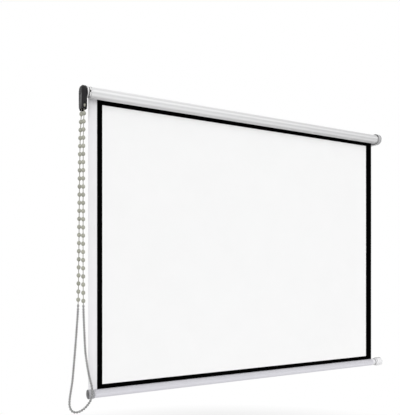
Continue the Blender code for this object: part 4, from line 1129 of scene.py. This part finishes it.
rightEnd = {
    "wall": 0.0024, "plate": 0.003, "rimDepth": 0.015, "flangeWidth": 0.040, "edge": 0.0011,
    "hole": 0.00275, "holeInset": 0.0335, "holeZ": (0.018, -0.018),
    "bossRadius": 0.009, "bossLength": 0.008,
    "socket": 0.0045, "socketFloor": 0.0018,        # carries the idle pin
    "pegs": ((-0.024, 0.014), (-0.024, -0.014)), "pegRadius": 0.0022, "pegLength": 0.002,
}


def bulletOutline(radius, rear):
    return [(rear, -radius), (rear, radius)] + arcPoints(rollCentre, radius, 90, 270, 64)


def makeRightBracket():
    low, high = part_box("right_bracket")
    look = rightEnd
    radius, plate = high.z, look["plate"]
    plateIn = high.x - plate
    rimLeft = plateIn - look["rimDepth"]
    bossLeft, socketEnd = plateIn - look["bossLength"], high.x - look["socketFloor"]
    shell, flange, dish, boss, holes = [bmesh.new() for _ in range(5)]
    addPrism(shell, bulletOutline(radius, 0), rimLeft, high.x)
    addBox(flange, (high.x - look["flangeWidth"], -plate, -radius), (high.x, 0, radius))
    addPrism(dish, bulletOutline(radius - look["wall"], -plate), rimLeft - cutPast, plateIn)
    addPegs(boss, look["bossRadius"], [(rollAxis.y, 0)], bossLeft, socketEnd, 48)
    addPegs(holes, look["socket"], [(rollAxis.y, 0)], bossLeft - cutPast, socketEnd, 36)
    x = high.x - look["holeInset"]
    for z in look["holeZ"]:
        addRod(holes, (x, -plate - cutPast, z), (x, cutPast, z), look["hole"], 32)
    addPegs(holes, look["pegRadius"] + play, look["pegs"], plateIn - cutPast, high.x + cutPast)
    body = carve("idleBracket", shell, bracketPlastic, ("UNION", flange), ("DIFFERENCE", dish),
                 ("UNION", boss), ("DIFFERENCE", holes), edge=look["edge"], edgeShade=bracketEdgeShade)
    # painted shade: the rim's end face takes the dark edge material as well
    for face in body.data.polygons:
        if face.normal.x < -0.9 and abs(face.center.x - rimLeft) < 0.0002:
            face.material_index = 1
    fit(body, "mount", "clear_plastic", "right_bracket")


def makeRightCover():
    look = rightEnd
    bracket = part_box("right_bracket")[1]
    low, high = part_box("right_cover")
    left = bracket.x + play
    face, pegs = bmesh.new(), bmesh.new()
    addPrism(face, bulletOutline(bracket.z, high.y), left, high.x)
    addPegs(pegs, look["pegRadius"], look["pegs"], bracket.x - look["pegLength"], (left + high.x) / 2)
    # its bevelled edges take the same painted shade as the bracket's
    cover = carve("idleCover", face, bracketPlastic, ("UNION", pegs), edge=look["edge"],
                  edgeShade=bracketEdgeShade)
    fit(cover, "mount", "clear_plastic", "right_cover")


makeRightBracket()
makeRightCover()
makeSpring("idleSpring", "idle_spring", wire=0.0006, turns=7, pressed=("idle_pin_press", 0.008))
print("right end made")


# Carried-over nodes take a finer finish

finishes = {
    "chain_wheel": blackPlastic,
    "wheel_clip": zinc,
    "roller_tube": tubePaint,
    "fabric_spline": whitePlastic,
    "idle_plug": whitePlastic,
    "idle_plug_cap": whitePlastic,
    "idle_pin": zinc,
}
for node, material in finishes.items():
    mesh = nodes[node].data
    mesh.materials.clear()
    mesh.materials.append(material)
print("nodes finished")


# Studio: white surroundings, a pale floor and soft light

studio = {
    "floorHeight": -1.9,
    "floorSize": 60,
    "floorFade": (1.4, 2.6),        # from the shadow's floor to plain white, in metres from the middle
    "ambient": 0.55,
    "lamps": {                      # strength, then tilt, turn and spread in degrees
        "key": (0.40, 52, -28, 35),
        "fill": (0.35, 60, 42, 60),
        "front": (0.82, 72, -25, 34),
    },
}


def seenPlainly(tree):
    # 1 for what the camera sees itself, or in metal and through glass
    rays = addNode(tree, "LightPath").outputs
    first = addNode(tree, "Math", rays["Is Camera Ray"], rays["Is Glossy Ray"], operation="MAXIMUM")
    both = addNode(tree, "Math", first.outputs[0], rays["Is Transmission Ray"], operation="MAXIMUM")
    return both.outputs[0]


def makeWorld():
    world = bpy.data.worlds.new("studio")
    bpy.context.scene.world = world
    world.use_nodes = True
    tree = world.node_tree
    tree.nodes.clear()
    white = (1, 1, 1, 1)
    soft = addNode(tree, "Background", Color=white, Strength=studio["ambient"])
    plain = addNode(tree, "Background", Color=white, Strength=1)
    mix = addNode(tree, "MixShader", seenPlainly(tree), soft.outputs[0], plain.outputs[0])
    addNode(tree, "OutputWorld", mix.outputs[0])


def floorPaint():
    # pale near the object, where its shadow falls, and plain white further off
    paint = Finish("floor paint", (0.92, 0.92, 0.92), 0.9, Specular_IOR_Level=0.0)
    tree = paint.tree
    glow = addNode(tree, "Emission", Strength=1)
    away = addNode(tree, "VectorMath", paint.place, operation="LENGTH").outputs["Value"]
    fade = paint.ramp(away, 0, 1, *studio["floorFade"])
    share = addNode(tree, "Math", seenPlainly(tree), fade, operation="MULTIPLY")
    mix = addNode(tree, "MixShader", share.outputs[0], paint.shader.outputs[0], glow.outputs[0])
    tree.links.new(mix.outputs[0], tree.nodes["Material Output"].inputs["Surface"])
    return paint.material


def makeStudio():
    makeWorld()
    bm = bmesh.new()
    bmesh.ops.create_grid(bm, x_segments=1, y_segments=1, size=studio["floorSize"] / 2)
    floor = meshPiece("floor", bm, floorPaint())
    floor.location = ((tubeLow.x + tubeHigh.x) / 2, 0, studio["floorHeight"])
    for name, (strength, tilt, turn, spread) in studio["lamps"].items():
        lamp = bpy.data.lights.new(name, "SUN")
        lamp.energy = strength
        lamp.angle = radians(spread)
        obj = link(bpy.data.objects.new(name, lamp))
        obj.rotation_euler = (radians(tilt), 0, radians(turn))
    bpy.context.scene.view_settings.view_transform = "Standard"


makeStudio()
print("studio lit")
